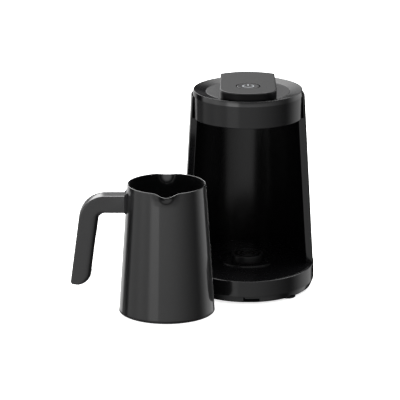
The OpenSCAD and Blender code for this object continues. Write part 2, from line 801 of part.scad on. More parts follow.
// One point of the jug's face: t degrees round, at level u from the foot ring (0)
// over the start of the spouts (1) to the rim (2), inset by the wall
function jug_point(t, u, inset) =
    let (share = spout_share(t), top = jug_h - spout_dip * share, start = jug_h - spout_h,
         z = u <= 1 ? mix(foot_ring_h, start, u) : mix(start, top, u - 1),
         v = max(u - 1, 0), r = cone_r(z) - inset + spout_reach * share * v * v)
    [r * cos(t), r * sin(t), z];
jug_levels = [0, 1, 1.2, 1.4, 1.6, 1.8, 2];

module jug_wall() color(jug_grey) {
    skin([for (i = [0 : steps - 1]) let (t = 360 * i / steps) concat(
        [for (u = jug_levels) jug_point(t, u, 0)],
        [for (k = [len(jug_levels) - 1 : -1 : 0]) jug_point(t, jug_levels[k], jug_wall_t)])], true);
}

ring_wall = 3;
ring_up = 3;
ring_bevel = 0.8;
jug_out_r = cone_r(ring_bevel);     // widest radius of the jug
tray_t = 2;
tray_z = 2;
socket_r = hub_d / 2 + socket_gap;
connector_r = socket_r + 4.5;
connector_flange_r = connector_r + 5;
socket_depth = hub_h + 0.6;
tray_top = tray_z + tray_t;

module jug_foot_ring() color(soft_black) {
    inner = function(z) cone_r(z) - jug_wall_t - fit;
    difference() {
        union() {
            rotate_extrude() polygon([
                [jug_foot_r - ring_wall, 0], [jug_foot_r - 1, 0], [jug_out_r, ring_bevel],
                [cone_r(foot_ring_h), foot_ring_h], [inner(foot_ring_h), foot_ring_h],
                [inner(foot_ring_h + ring_up), foot_ring_h + ring_up],
                [inner(foot_ring_h + ring_up) - 2, foot_ring_h + ring_up], [jug_foot_r - ring_wall - 1, tray_top],
                [connector_r + fit, tray_top], [connector_r + fit, tray_z], [jug_foot_r - ring_wall - 1.5, tray_z]
            ]);
        }
        for (i = [0 : 2]) rotate(120 * i + 30) translate([tray_screw_at, 0, 0]) {
            rod(tray_screw_r + slide, 0, tray_top + 1);
            rod(tray_head_r + slide, -1, 1 + tray_z + 0.2 + tray_head_h);
        }
    }
}
tray_screw_at = 34;
tray_screw_r = 1.3;
tray_head_r = 2.6;
tray_head_h = 1.2;
tray_screw_len = 7;
post_r = 2.8;

plate_in_jug_t = 1.5;
spreader_t = 4;
element_r = 3.2;
element_ring_r = 25;

module heating_plate() color(steel) {
    seat = cone_r(jug_floor_h) - jug_wall_t - fit / 2;
    rod(seat, jug_floor_h - plate_in_jug_t, plate_in_jug_t);
    // Posts for the foot ring's screws
    for (i = [0 : 2]) rotate(120 * i + 30) translate([tray_screw_at, 0, 0]) difference() {
        rod(post_r, tray_top, jug_floor_h - plate_in_jug_t - tray_top + flare);
        rod(tray_screw_r + slide / 2, tray_top - 1, tray_screw_len + 2);
    }
}

spreader_z = jug_floor_h - plate_in_jug_t - spreader_t;

module heat_spreader() color("#a9adb3") {
    rod(tray_screw_at - post_r - 1, spreader_z, spreader_t);
}

module heating_element() color("#8d8f94") {
    translate([0, 0, spreader_z - element_r]) {
        rotate(120) rotate_extrude(angle = 300) translate([element_ring_r, 0]) circle(r = element_r, $fn = 24);
        for (turn = [126, 54]) rotate(turn) translate([element_ring_r, 0, -4]) cylinder(r = 1.4, h = 4, $fn = 24);
    }
}

module jug_thermostat() color("#d9cfae") {
    rod(9, socket_depth + 2.4, max(spreader_z - socket_depth - 2.4, 0.6));
}

module jug_connector() color(soft_black) {
    top = socket_depth + 2.4;
    difference() {
        union() {
            rod(connector_r, tray_z, top - tray_z);
            rod(connector_flange_r, tray_top, 1.6);
        }
        rod(socket_r, -1, socket_depth + 1);
    }
    // Ridges that go into the connector's grooves
    for (g = [groove_r, groove2_r])
        hoop(g[0] + 0.5, g[1] - 0.5, meet_h + meet_gap + contact_t,
             socket_depth - meet_h - meet_gap - contact_t + flare);
}

module jug_contacts() color(brass) {
    for (g = [groove_r, groove2_r])
        hoop(g[0] + 0.6, g[1] - 0.6, meet_h + meet_gap, contact_t);
}

module foot_ring_screws() color(steel) {
    for (i = [0 : 2]) rotate(120 * i + 30) translate([tray_screw_at, 0, 0])
        screw(tray_head_r, tray_head_h, tray_screw_r, tray_screw_len, tray_z + 0.1);
}

// Handle, drawn in the XZ plane with the jug's axis at X = 0 ------------------

arm_start = -(cone_r(arm_z) + bracket_len - 0.6);
bend_c = [-bend_x, arm_z - bend_r];
lean_dir = [-sin(grip_lean), -cos(grip_lean)];
lean_side = [-cos(grip_lean), sin(grip_lean)];
bend_end = bend_c + bend_r * lean_side;
foot_end = bend_end + grip_len * lean_dir;
out_r = bend_r + grip_w / 2;
in_r = bend_r - grip_w / 2;
toe_r = 3;
heel_r = 13;
arm_half = arm_h / 2;
// The bend widens from the arm's height to the grip's width
function bend_arc(side, from, to, n) = [for (i = [0 : n])
    let (u = i / n, t = mix(from, to, u), w = mix(arm_half, grip_w / 2, abs(t - 90) / (90 - grip_lean)))
    [bend_c + (bend_r + side * w) * [cos(t), sin(t)], side * [cos(t), sin(t)]]];
function handle_points() = concat(
    [[[arm_start, arm_z + arm_half], [0, 1]]],
    bend_arc(1, 90, 180 - grip_lean, 12),
    toe_arc(),
    heel_arc(),
    bend_arc(-1, 180 - grip_lean, 90, 12),
    [[[arm_start, arm_z - arm_half], [0, -1]]]);
toe_c = foot_end + (grip_w / 2 - toe_r) * lean_side - toe_r * lean_dir;
heel_c = foot_end - (grip_w / 2 - heel_r) * lean_side - heel_r * lean_dir;
function toe_arc() = arc(toe_c, toe_r, 180 - grip_lean, 270 - grip_lean, 5);
function heel_arc() = arc(heel_c, heel_r, 270 - grip_lean, 360 - grip_lean, 7);

// Solid of the handle: the outline in layers across Y, with rounded edges
module handle_solid(half, edge, points) {
    layers = concat(
        [for (k = [0 : 3]) [-half + edge * (1 - cos(30 * k)), edge * (1 - sin(30 * k))]],
        [for (k = [3 : -1 : 0]) [half - edge * (1 - cos(30 * k)), edge * (1 - sin(30 * k))]]);
    skin([for (l = layers) [for (p = points) let (q = p[0] - l[1] * p[1]) [q[0], l[0], q[1]]]]);
}

insert_t = 2.4;
insert_half = handle_t / 2 - 3;
insert_top = 16;                    // where the insert starts, below the bend's end
insert_bottom = 15;                 // where it ends, above the grip's end
function insert_outline(gap, out) = [
    for (p = [[insert_top + gap, out], [grip_len - insert_bottom - gap, out],
              [grip_len - insert_bottom - gap, -insert_t + gap], [insert_top + gap, -insert_t + gap]])
    bend_end + p[0] * lean_dir - (grip_w / 2 + p[1]) * lean_side];
module insert_shape(gap, out, half) {
    rotate([90, 0, 0]) translate([0, 0, -half]) linear_extrude(2 * half) polygon(insert_outline(gap, out));
}

tongue_len = 15;
tongue_t = 5;
tongue_half = 4.5;
handle_screw_r = 1.4;
handle_head_r = 2.7;
handle_head_h = 1.6;
handle_screw_at = [arm_start - 4.5, arm_start - 11];

module handle_grip() color(soft_black) {
    difference() {
        handle_solid(handle_t / 2, handle_edge, handle_points());
        insert_shape(0, 2, insert_half);
        block([tongue_len + 1 + fit, 2 * (tongue_half + fit), tongue_t + 2 * fit],
              [arm_start + 1 - (tongue_len + 1 + fit) / 2, 0], arm_z - tongue_t / 2 - fit);
        for (x = handle_screw_at) translate([x, 0, 0]) {
            rod(handle_head_r + slide, arm_z - arm_half - 1, 1 + handle_head_h + 0.4);
            rod(handle_screw_r + slide, arm_z - arm_half, arm_half);
        }
    }
}

module handle_insert() color(gloss_black) {
    insert_shape(fit / 2, -0.3, insert_half - fit / 2);
}

module handle_screws() color(steel) {
    for (x = handle_screw_at) translate([x, 0, 0])
        screw(handle_head_r, handle_head_h, handle_screw_r, arm_half - handle_head_h - 0.4 + tongue_t / 2 - 1,
              arm_z - arm_half + 0.4);
}

module handle_bracket() color(soft_black) {
    saddle_half = handle_t / 2 + 1;
    rise = 3;
    reach = arm_start;
    difference() {
        union() {
            // Saddle with a sloping top, and the tongue that goes into the arm
            rotate([90, 0, 0]) translate([0, 0, -saddle_half]) linear_extrude(2 * saddle_half) polygon([
                [reach, arm_z - arm_half - 0.6], [-10, arm_z - arm_half - 0.6], [-10, arm_z + arm_half + rise],
                [-cone_r(arm_z) * cos(14) - 0.4, arm_z + arm_half + rise], [reach, arm_z + arm_half + 0.4]]);
            block([tongue_len + flare, 2 * tongue_half, tongue_t],
                  [reach - tongue_len / 2 + flare, 0], arm_z - tongue_t / 2);
        }
        // The jug's cone
        translate([0, 0, arm_z - arm_h])
            cylinder(r1 = cone_r(arm_z - arm_h) + fit / 2, r2 = cone_r(arm_z + arm_h) + fit / 2, h = 2 * arm_h);
        for (x = handle_screw_at) translate([x, 0, 0])
            rod(handle_screw_r + slide / 2, arm_z - arm_half, arm_half + tongue_t / 2 + 1);
    }
}

// Places of the two bodies. The origin is the middle of the whole row, on the table.
handle_left = max([for (p = handle_points()) -p[0][0]]);
row_x = (band_a - jug_left - handle_left) / 2;
row_y = (band_b - jug_front - jug_out_r) / 2;
module machine_place() {
    translate([-row_x, -row_y, 0]) children();
}
module jug_place() {
    translate([-jug_left - row_x, -jug_front - row_y, 0]) children();
}

machine_place() base_band();
machine_place() base_plate();
machine_place() rubber_feet();
machine_place() base_screws();
machine_place() cord_inlet_bush();
machine_place() bay_floor();
machine_place() connector_hub();
machine_place() hub_contacts();
machine_place() power_board();
machine_place() relay();
machine_place() transformer();
machine_place() wiring_harness();
machine_place() rear_shell();
machine_place() bay_liner();
machine_place() edge_trim_left();
machine_place() edge_trim_right();
machine_place() cap_housing();
machine_place() cap_plate();
machine_place() cap_screws();
machine_place() cap_inlay();
machine_place() foam_sensor();
machine_place() sensor_window();
machine_place() pod_housing();
machine_place() pod_lid();
machine_place() pod_screws();
machine_place() control_board();
machine_place() board_screws();
machine_place() tact_switch();
machine_place() buzzer();
machine_place() power_button();
machine_place() power_sign();
machine_place() switch_plunger();
jug_place() jug_wall();
jug_place() jug_foot_ring();
jug_place() heating_plate();
jug_place() heat_spreader();
jug_place() heating_element();
jug_place() jug_thermostat();
jug_place() jug_connector();
jug_place() jug_contacts();
jug_place() foot_ring_screws();
jug_place() handle_bracket();
jug_place() handle_grip();
jug_place() handle_insert();
jug_place() handle_screws();
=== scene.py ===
"""Finished surfaces for an electric Turkish coffee maker and its jug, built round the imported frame."""

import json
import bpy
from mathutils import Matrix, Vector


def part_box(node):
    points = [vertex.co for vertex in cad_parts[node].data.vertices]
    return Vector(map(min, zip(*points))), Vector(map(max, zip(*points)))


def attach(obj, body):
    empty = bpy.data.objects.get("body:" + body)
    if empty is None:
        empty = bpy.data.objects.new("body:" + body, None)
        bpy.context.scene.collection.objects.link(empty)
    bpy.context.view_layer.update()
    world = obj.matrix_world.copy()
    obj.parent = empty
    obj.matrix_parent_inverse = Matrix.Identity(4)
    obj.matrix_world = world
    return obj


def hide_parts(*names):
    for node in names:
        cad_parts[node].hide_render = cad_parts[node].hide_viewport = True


bl_info = {
    "name": "Turkish Coffee Maker",
    "version": (1, 0, 0),
    "blender": (4, 5, 0),
    "location": "3D View > Sidebar > Coffee",
    "description": "Moulded, coated and polished pieces of a coffee maker with a cordless jug",
    "category": "Add Mesh",
}

from math import acos, asin, atan2, cos, hypot, pi, radians, sin, sqrt, tan

import bmesh
import bpy
from bpy.props import FloatProperty, FloatVectorProperty, PointerProperty
from mathutils import Vector

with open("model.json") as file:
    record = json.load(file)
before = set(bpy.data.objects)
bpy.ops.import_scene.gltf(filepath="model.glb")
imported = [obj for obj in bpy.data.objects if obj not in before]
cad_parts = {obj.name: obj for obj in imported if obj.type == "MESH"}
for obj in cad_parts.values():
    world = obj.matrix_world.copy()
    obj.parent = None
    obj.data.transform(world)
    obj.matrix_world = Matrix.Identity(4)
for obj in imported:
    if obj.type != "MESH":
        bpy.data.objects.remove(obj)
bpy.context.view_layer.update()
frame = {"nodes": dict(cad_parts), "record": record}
RECORD = frame["record"]
MM = 0.001
HAIR = 0.01 * MM
TAU = 2 * pi


# ---- Places and sizes from the frame


def low(node):
    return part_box(node)[0]


def high(node):
    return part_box(node)[1]


def middle(node):
    """Upright axis of a round node, on the table."""
    centre = (low(node) + high(node)) / 2
    return Vector((centre.x, centre.y, 0))


def width(node, axis=0):
    return high(node)[axis] - low(node)[axis]


MACHINE = middle("cap_housing")
JUG = middle("jug_wall")
Z_BASE = low("base_band").z
Z_FLOOR = high("base_band").z
Z_BAY_TOP = low("cap_housing").z
Z_SHELL_TOP = high("rear_shell").z
Z_RIM = high("cap_housing").z
Z_INLAY = high("cap_inlay").z
Z_DECK = low("cap_inlay").z
Z_LID = high("pod_housing").z
Z_TOP = high("pod_lid").z
BAND_A = width("base_band") / 2
BAND_B = width("base_band", 1) / 2
FOOT_A = width("rear_shell") / 2
FOOT_B = high("rear_shell").y - MACHINE.y
CAP_R = width("cap_housing") / 2
DISH_R = width("cap_inlay") / 2
SHELL_TOP_R = CAP_R + 1.7 * MM
SHELL_FRONT = low("rear_shell").y - MACHINE.y
TRIM_BACK = high("edge_trim_left").y - MACHINE.y
BUTTON_Y = middle("power_button").y - MACHINE.y
BUTTON = MACHINE + Vector((0, BUTTON_Y, 0))
JUG_H = high("jug_wall").z
RING_H = low("jug_wall").z
ARM_START = high("handle_grip").x - JUG.x
HANDLE_HALF = width("handle_grip", 1) / 2


# ---- Settings


def number(name, description, default, **options):
    return FloatProperty(name=name, description=description, default=default, min=0, **options)


def length(name, description, default):
    """Size given in millimetres and kept in metres."""
    return number(name, description, default * MM, unit="LENGTH", precision=4)


def degrees(name, description, default):
    """Angle given in degrees and kept in radians."""
    return number(name, description, radians(default), subtype="ANGLE")


def colour(name, description, default):
    return FloatVectorProperty(
        name=name, description=description, default=default, subtype="COLOR", min=0, max=1
    )


class MachineSizes(bpy.types.PropertyGroup):
    """Sizes of the machine's moulded pieces"""

    band_wall: length("Band wall", "Wall of the base band", 2.2)
    band_bevel_h: length("Bevel height", "Height of the base's bevel", 6.2)
    band_bevel_in: length("Bevel depth", "How far that bevel runs in", 2.6)
    band_lip: length("Band lip", "Rounding of its upper edge", 0.7)
    floor_t: length("Floor", "Thickness of the bay floor", 2)
    floor_gap: length("Floor gap", "Groove between floor and band", 0.2)
    notch_w: length("Notch width", "Width of the front notch", 15)
    notch_h: length("Notch height", "Height of that notch", 4.2)
    notch_x: length("Notch place", "Its middle, right of the axis", 3.5)
    lead_d: length("Lead hole", "Hole for the mains lead's bush", 10.6)
    foot_d: length("Foot", "Diameter of a rubber foot", 16)
    foot_stud_r: length("Foot stud", "Radius of its stud in the plate", 3.8)
    hub_d: length("Connector", "Diameter of the connector", 32)
    ring_d: length("Floor ring", "Diameter of the floor's raised ring", 58)
    ring_h: length("Ring height", "Height of that ring", 1.4)
    shell_wall: length("Shell wall", "Wall of the rear shell", 1.2)
    liner_wall: length("Liner wall", "Wall of the bay liner", 1.5)
    trim_w: length("Trim width", "Width of the strips", 6.6)
    trim_edge: length("Trim rounding", "Rounding of the strips", 0.8)
    cap_wall: length("Cap wall", "Wall of the cap", 2)
    cap_side_h: length("Cap side", "Height of the cap's upright side", 21.8)
    cap_bevel_in: length("Cap bevel", "How far the rim lies inside the side", 0.7)
    cap_rim_w: length("Cap rim", "Width of the flat rim", 0.6)


class PodSizes(bpy.types.PropertyGroup):
    """Sizes of the control pod and its button"""

    width: length("Width", "Width of the pod", 55)
    back_width: length("Back width", "Width of the pod at its back", 53.4)
    front: length("Front", "Reach of the pod in front of the axis", 50)
    back: length("Back", "Reach of the pod behind the axis", 40.5)
    edge_r: length("Edge radius", "Radius of front and back", 47)
    corner_r: length("Corner radius", "Radius of the front corners", 20)
    back_corner_r: length("Back corner radius", "Radius of the back corners", 2)
    wall: length("Wall", "Wall of the pod", 2)
    lid_edge: length("Lid rounding", "Rounding of the lid's upper edge", 0.7)
    seam: length("Seam", "Groove between the lid and the housing", 0.25)
    button_d: length("Button", "Diameter of the power button", 22)
    button_gap: length("Button gap", "Gap round the power button", 0.9)
    button_dish: length("Button dish", "Depth of the hollow in the button", 0.22)
    sign_d: length("Sign", "Outer diameter of the power sign", 11.6)
    sign_line: length("Sign line", "Width of the power sign's lines", 1.2)
    sign_gap: degrees("Sign gap", "Gap in the sign's ring, round its bar", 70)


class JugSizes(bpy.types.PropertyGroup):
    """Sizes of the jug"""

    foot_d: length("Foot", "Diameter of the cone at the table", 93)
    rim_d: length("Rim", "Diameter at the rim", 75.6)
    wall: length("Wall", "Thickness of the wall", 1)
    spout_reach: length("Spout reach", "How far a spout reaches out", 5.5)
    spout_h: length("Spout height", "Height of a spout below the rim", 13)
    spout_dip: length("Spout dip", "How far the rim dips in a spout", 2.5)
    spout_angle: degrees("Spout angle", "Part of the rim that a spout takes", 46)


class HandleSizes(bpy.types.PropertyGroup):
    """Sizes of the handle"""

    arm_z: length("Arm height", "Height of the arm's middle", 108)
    arm_h: length("Arm section", "Height of the arm's section", 17)
    bend_x: length("Bend place", "Distance from the jug's axis to the bend", 58.1)
    bend_r: length("Bend radius", "Radius of the bend at the handle's middle", 17)
    lean: degrees("Lean", "Lean of the grip from upright", 7.5)
    grip_w: length("Grip section", "Width of the grip's section", 19)
    grip_len: length("Grip length", "Length of the grip below the bend", 66.8)
    edge: length("Rounding", "Rounding of the handle's edges", 1.2)
    inner_edge: length("Inner rounding", "Rounding towards the jug", 6.4)
    toe_r: length("Toe radius", "Radius of the outer lower corner", 3)
    heel_r: length("Heel radius", "Radius of the inner lower corner", 13)
    insert_top: length("Panel start", "Start of the inner panel below the bend", 16)
    insert_bottom: length("Panel end", "End of that panel above the grip's end", 15)
    insert_t: length("Panel depth", "Depth of that panel in the grip", 2.4)


class FinishColours(bpy.types.PropertyGroup):
    """Colour of each finish, named as the record's material slots"""

    satin_dark_grey: colour("Casing", "Base, strips and cap", (0.006, 0.006, 0.0066))
    # gloss_black is also the colour under the painted shade in hollows
    gloss_black: colour("Polished black", "Shell, liner and bay floor", (0.0028, 0.0028, 0.0032))
    black_plastic: colour("Black plastic", "Plain moulded pieces", (0.006, 0.006, 0.0064))
    foot_rubber: colour("Foot rubber", "Rubber feet", (0.01, 0.01, 0.01))
    screw_steel: colour("Screws", "Plated screws", (0.55, 0.55, 0.56))
    contact_brass: colour("Contacts", "Ring contacts", (0.62, 0.45, 0.16))
    board_green: colour("Boards", "Solder mask", (0.02, 0.11, 0.05))
    relay_blue: colour("Relay", "Relay's case", (0.02, 0.06, 0.2))
    winding_yellow: colour("Winding tape", "Tape round the windings", (0.5, 0.4, 0.1))
    wire_sleeve: colour("Wires", "Sleeve round the wires", (0.2, 0.02, 0.02))
    inlay_grey: colour("Inlay", "Disc in the cap's dish", (0.016, 0.016, 0.017))
    sensor_glass: colour("Sensor window", "Window of the foam sensor", (0.04, 0.008, 0.012))
    pod_grey: colour("Pod", "Pod's lid and button", (0.018, 0.018, 0.0186))
    sign_white: colour("Power sign", "Light sign on the button", (0.21, 0.22, 0.235))
    jug_coat: colour("Jug coat", "Dark coat of the jug", (0.006, 0.006, 0.0065))
    bare_steel: colour("Bare steel", "Jug's floor and heater", (0.4, 0.4, 0.41))
    cast_aluminium: colour("Cast aluminium", "Heat spreader", (0.5, 0.51, 0.53))
    grip_plastic: colour("Grip", "Soft-touch grip", (0.013, 0.013, 0.0138))


class StudioSettings(bpy.types.PropertyGroup):
    """Camera and light"""

    camera_at: FloatVectorProperty(
        name="Camera",
        description="Place of the camera from the machine's axis",
        default=(-0.0469, -3.3442, 1.0340),
        subtype="TRANSLATION",
    )
    camera_pitch: degrees("Camera pitch", "How far the camera looks down", 15.85)
    camera_lens: number("Lens", "Focal length in millimetres on a 36 mm sensor", 316.76)
    ambient: number("Ambient", "Light from all round, above the horizon", 1.0)
    sky: number("Sky", "Light from high up behind the object", 6.5)
    sky_left: number("Left sky", "Extra light from behind on the left", 2.9)
    top: number("Top", "Light from low behind for level faces", 0.42)
    left_low: number("Left low", "Light from low on the left for upright sides", 0.24)
    below: number("Below", "Light from under the object", 0.5)
    floor_size: length("Floor size", "Side of the floor", 8000)
    floor_glow: number("Floor glow", "Light that the floor gives to the camera", 0.8)


# ---- Meshes


class Form:
    """Mesh that grows from rows of points round a centre."""

    def __init__(self, centre=MACHINE):
        self.mesh = bmesh.new()
        self.centre = Vector(centre)

    def skin(self, rows, along=False, ends=True):
        """Faces between neighbouring closed rows; along joins the last row to the first."""
        made = [[self.mesh.verts.new(self.centre + Vector(p)) for p in row] for row in rows]
        pairs = list(zip(made, made[1:])) + ([(made[-1], made[0])] if along else [])
        for one, two in pairs:
            for i in range(len(one)):
                j = (i + 1) % len(one)
                self.mesh.faces.new((one[i], one[j], two[j], two[i]))
        if ends and not along:
            self.mesh.faces.new(made[0])
            self.mesh.faces.new(list(reversed(made[-1])))
        return self

    def rings(self, rows, along=True, steps=256):
        """Skin over level ellipses, each given by its two half-widths and its height."""
        turn = [TAU * i / steps for i in range(steps)]
        ellipses = [[(a * cos(t), b * sin(t), z) for t in turn] for a, b, z in rows]
        return self.skin(ellipses, along, ends=False)

    def turned(self, outline, along=True, steps=224):
        """Skin over the circles of an outline of radius and height."""
        return self.rings([(r, r, z) for r, z in outline], along, steps)

    def layers(self, outline, rows, along=False):
        """Skin over level copies of an outline, each set in by its inset, at its height."""
        facing = normals(outline)
        return self.skin([
            [(p[0] - d * n[0], p[1] - d * n[1], z) for p, n in zip(outline, facing)] for d, z in rows
        ], along)

    def slab(self, outline, half, edge, flat_x=None, softer=0):
        """Solid across Y of an outline in X and Z: rounded edges, softer towards +X, flat at flat_x."""
        def corner(p, n, side, inset, down):
            if p[0] == flat_x:
                n, inset = Vector((0, n.y)), min(inset, 1)
            radius = edge + softer * max(n.x, 0)
            inset *= radius
            return p[0] - inset * n.x, side * (half - radius * down), p[1] - inset * n.y

        steps = 6
        turn = [pi / 2 * k / steps for k in range(steps, -1, -1)]
        front = [(1.5, 0), *((1 - cos(t), 1 - sin(t)) for t in turn)]
        rows = [(-1, *row) for row in front] + [(1, *row) for row in reversed(front)]
        facing = normals(outline)
        return self.skin([[corner(p, n, *row) for p, n in zip(outline, facing)] for row in rows])

    def box(self, corner, opposite):
        """Upright block between two opposite corners."""
        (x0, y0, z0), (x1, y1, z1) = corner, opposite
        return self.skin([[(x0, y0, z), (x1, y0, z), (x1, y1, z), (x0, y1, z)] for z in (z0, z1)])

    def object(self, name):
        """Object of the mesh, with points that coincide joined."""
        bmesh.ops.remove_doubles(self.mesh, verts=self.mesh.verts, dist=1e-7)
        bmesh.ops.recalc_face_normals(self.mesh, faces=self.mesh.faces)
        data = bpy.data.meshes.new(name)
        self.mesh.to_mesh(data)
        self.mesh.free()
        piece = bpy.data.objects.new(name, data)
        bpy.context.scene.collection.objects.link(piece)
        return piece


def normals(outline):
    """Outward normals of an outline, longer at corners, so that an inset keeps its width."""
    found = []
    count = len(outline)
    pairs = [(outline[i - 1], outline[i]) for i in range(count)]
    side = 1 if sum(p[0] * q[1] - q[0] * p[1] for p, q in pairs) > 0 else -1
    for i in range(count):
        before, here, after = (Vector(outline[k % count]) for k in (i - 1, i, i + 1))
        one = (here - before).normalized()
        two = (after - here).normalized()
        n = Vector((one.y + two.y, -one.x - two.x)).normalized() * side
        found.append(n / max(n.dot(Vector((one.y, -one.x)) * side), 0.5))
    return found


def rounded(corners, closed=True):
    """Outline whose corners (x, y, radius) become arcs, with a holding point on either side."""
    steps, hold = 5, 1.5
    points = []
    count = len(corners)
    for i, (x, y, radius) in enumerate(corners):
        here = Vector((x, y))
        if radius == 0 or (not closed and i in (0, count - 1)):
            points.append(here)
            continue
        before = Vector(corners[i - 1][:2]) - here
        after = Vector(corners[(i + 1) % count][:2]) - here
        half = before.angle(after) / 2
        room = 0.48 * min(before.length, after.length)
        reach = min(radius / tan(half), room)
        radius = reach * tan(half)
        one, two = before.normalized(), after.normalized()
        centre = here + (one + two).normalized() * radius / sin(half)
        start, end = here + one * reach - centre, here + two * reach - centre
        held = [here + way * reach * hold for way in (one, two) if reach * hold < room]
        turn = [centre + start.slerp(end, k / steps).normalized() * radius for k in range(steps + 1)]
        points += [*held[:1], *turn, *held[1:]]
    return points


def arc(centre, radius, start, end, steps):
    """Points of an arc, as corners that are left sharp."""
    turn = [start + (end - start) * k / steps for k in range(steps + 1)]
    return [(centre[0] + radius * cos(t), centre[1] + radius * sin(t), 0) for t in turn]


def carve(piece, *cutters):
    """Cuts the other objects out of a piece and removes them."""
    for cutter in cutters:
        cut = piece.modifiers.new("cut", "BOOLEAN")
        cut.operation = "DIFFERENCE"
        cut.solver = "EXACT"
        cut.object = cutter
    seen = piece.evaluated_get(bpy.context.evaluated_depsgraph_get())
    data = bpy.data.meshes.new_from_object(seen)
    piece.modifiers.clear()
    piece.data = data
    for cutter in cutters:
        bpy.data.objects.remove(cutter)
    return piece


def body_of(node):
    return next(name for name, nodes in RECORD["behaviour"]["bodies"].items() if node in nodes)


def slot_of(node):
    return next(row["material_slot"] for row in RECORD["subparts"] if row["node"] == node)


def fitted(piece, node, sharp=35):
    """The piece takes a node's place, body and finish, and its broken edges stay crisp."""
    slot = slot_of(node)
    piece.data.shade_smooth()
    piece.data.set_sharp_from_angle(angle=radians(sharp))
    piece.data.materials.clear()
    piece.data.materials.append(finish_for(slot, node))
    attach(piece, body_of(node))
    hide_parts(node)
    return piece


# ---- Finishes


class Wire:
    """One output of a shader node, with arithmetic."""

    def __init__(self, nodes, socket):
        self.nodes = nodes
        self.socket = socket

    def math(self, operation, *values):
        """A math node's result for these values."""
        return self.nodes.add("Math", {"operation": operation}, dict(enumerate(values)))

    def __add__(self, other):
        return self.math("ADD", self, other)

    def __sub__(self, other):
        return self.math("SUBTRACT", self, other)

    def __rsub__(self, other):
        return self.math("SUBTRACT", other, self)

    def __mul__(self, other):
        return self.math("MULTIPLY", self, other)


class Nodes:
    """Node tree whose nodes are all made by one method."""

    def __init__(self, tree):
        self.tree = tree
        tree.nodes.clear()

    def add(self, kind, settings=None, inputs=None, output=0):
        """A new node with its settings and inputs; gives one of its outputs."""
        node = self.tree.nodes.new("ShaderNode" + kind)
        for name, value in (settings or {}).items():
            setattr(node, name, value)
        for key, value in (inputs or {}).items():
            self.feed(node.inputs[key], value)
        return Wire(self, node.outputs[output]) if node.outputs else None

    def feed(self, socket, value):
        """Links a wire to a socket, or sets the socket to a plain value."""
        if isinstance(value, Wire):
            self.tree.links.new(value.socket, socket)
        else:
            socket.default_value = value

    def ramp(self, value, low_at, high_at, low_value=0.0, high_value=1.0):
        """Smooth step of a value from one number to another."""
        inputs = {"Value": value, 1: low_at, 2: high_at, 3: low_value, 4: high_value}
        return self.add("MapRange", {"interpolation_type": "SMOOTHSTEP"}, inputs)


class Finish(Nodes):
    """Principled material that knows the place on the object, in metres."""

    def __init__(self, name):
        self.material = bpy.data.materials.new(name)
        self.material.use_nodes = True
        super().__init__(self.material.node_tree)
        self.place = self.add("TexCoord", output="Object")
        self.shader = self.tree.nodes.new("ShaderNodeBsdfPrincipled")
        self.add("OutputMaterial", inputs={"Surface": Wire(self, self.shader.outputs["BSDF"])})

    def paint(self, **values):
        """Sets or links the shader's sockets, named in lower case."""
        for name, value in values.items():
            socket = next(s for s in self.shader.inputs if s.name.lower().replace(" ", "_") == name)
            self.feed(socket, value)
        return self.material

    def noise(self, size, detail=2.0, stretch=(1, 1, 1)):
        """Clouds of the given size in metres, from 0 to 1."""
        place = self.add("VectorMath", {"operation": "MULTIPLY"}, {0: self.place, 1: stretch})
        return self.add("TexNoise", inputs={"Vector": place, "Scale": 1 / size, "Detail": detail})

    def tint(self, factor, one, two):
        """Colour between two colours."""
        inputs = {0: factor, 6: (*one, 1), 7: (*two, 1)}
        return self.add("Mix", {"data_type": "RGBA"}, inputs, output=2)

    def shade(self, base, size, share):
        """The base colour, a little lighter and darker in soft clouds."""
        return self.tint(self.noise(size), scaled(base, 1 - share), scaled(base, 1 + share))

    def bump(self, height, depth):
        """Normal over a height map, where 1 stands for the depth in metres."""
        return self.add("Bump", inputs={"Distance": depth, "Height": height})


def scaled(base, share):
    """The colour times a share, at most white."""
    return [min(c * share, 1) for c in base]


def moulded(name, base, roughness, grain, depth, level=0.5):
    """Plastic from a spark-eroded mould: fine grain and faint flow clouds."""
    f = Finish(name)
    grit = f.noise(grain, 3)
    spread = 0.08
    return f.paint(
        base_color=f.shade(base, 18 * MM, 0.06),
        roughness=f.noise(9 * MM) * spread + (roughness - spread / 2),
        specular_ior_level=level,
        normal=f.bump(grit, depth),
    )


def polished(name, base, roughness, level=0.5, lean=0.0):
    """Polished plastic with a trace of flow and faint wiping marks; its sheen can lean."""
    f = Finish(name)
    wiping = f.noise(5 * MM, 4, (1, 1, 0.15))
    height = f.noise(7 * MM, 1) * (0.004 * MM)
    if lean:
        height = height - f.add("SeparateXYZ", inputs={0: f.place}, output=2) * lean
    return f.paint(
        base_color=f.shade(base, 30 * MM, 0.1),
        roughness=f.ramp(wiping, 0.45, 0.8, roughness, roughness + 0.05),
        specular_ior_level=level,
        normal=f.bump(height, 1.0),
    )


def bare_metal(name, base, roughness, stretch, depth=0.004 * MM):
    """Metal with fine lines along one direction."""
    f = Finish(name)
    lines = f.noise(0.25 * MM, 3, stretch)
    spread = 0.16
    return f.paint(
        base_color=f.shade(base, 4 * MM, 0.08),
        metallic=1.0,
        roughness=lines * spread + (roughness - spread / 2),
        normal=f.bump(lines, depth),
    )


def jug_coat(name, base):
    """Dark coat with fine metal flakes under a clear layer."""
    f = Finish(name)
    flakes = f.ramp(f.noise(0.22 * MM, 2), 0.52, 0.7)
    peel = f.noise(2.2 * MM, 1)
    return f.paint(
        base_color=f.tint(flakes, base, scaled(base, 2.2)),
        metallic=flakes * 0.35,
        roughness=f.noise(6 * MM) * 0.06 + 0.3,
        specular_ior_level=0.2,
        coat_weight=1.0,
        coat_roughness=0.03,
        sheen_weight=0.25,
        sheen_roughness=0.2,
        normal=f.bump(peel, 0.003 * MM),
    )


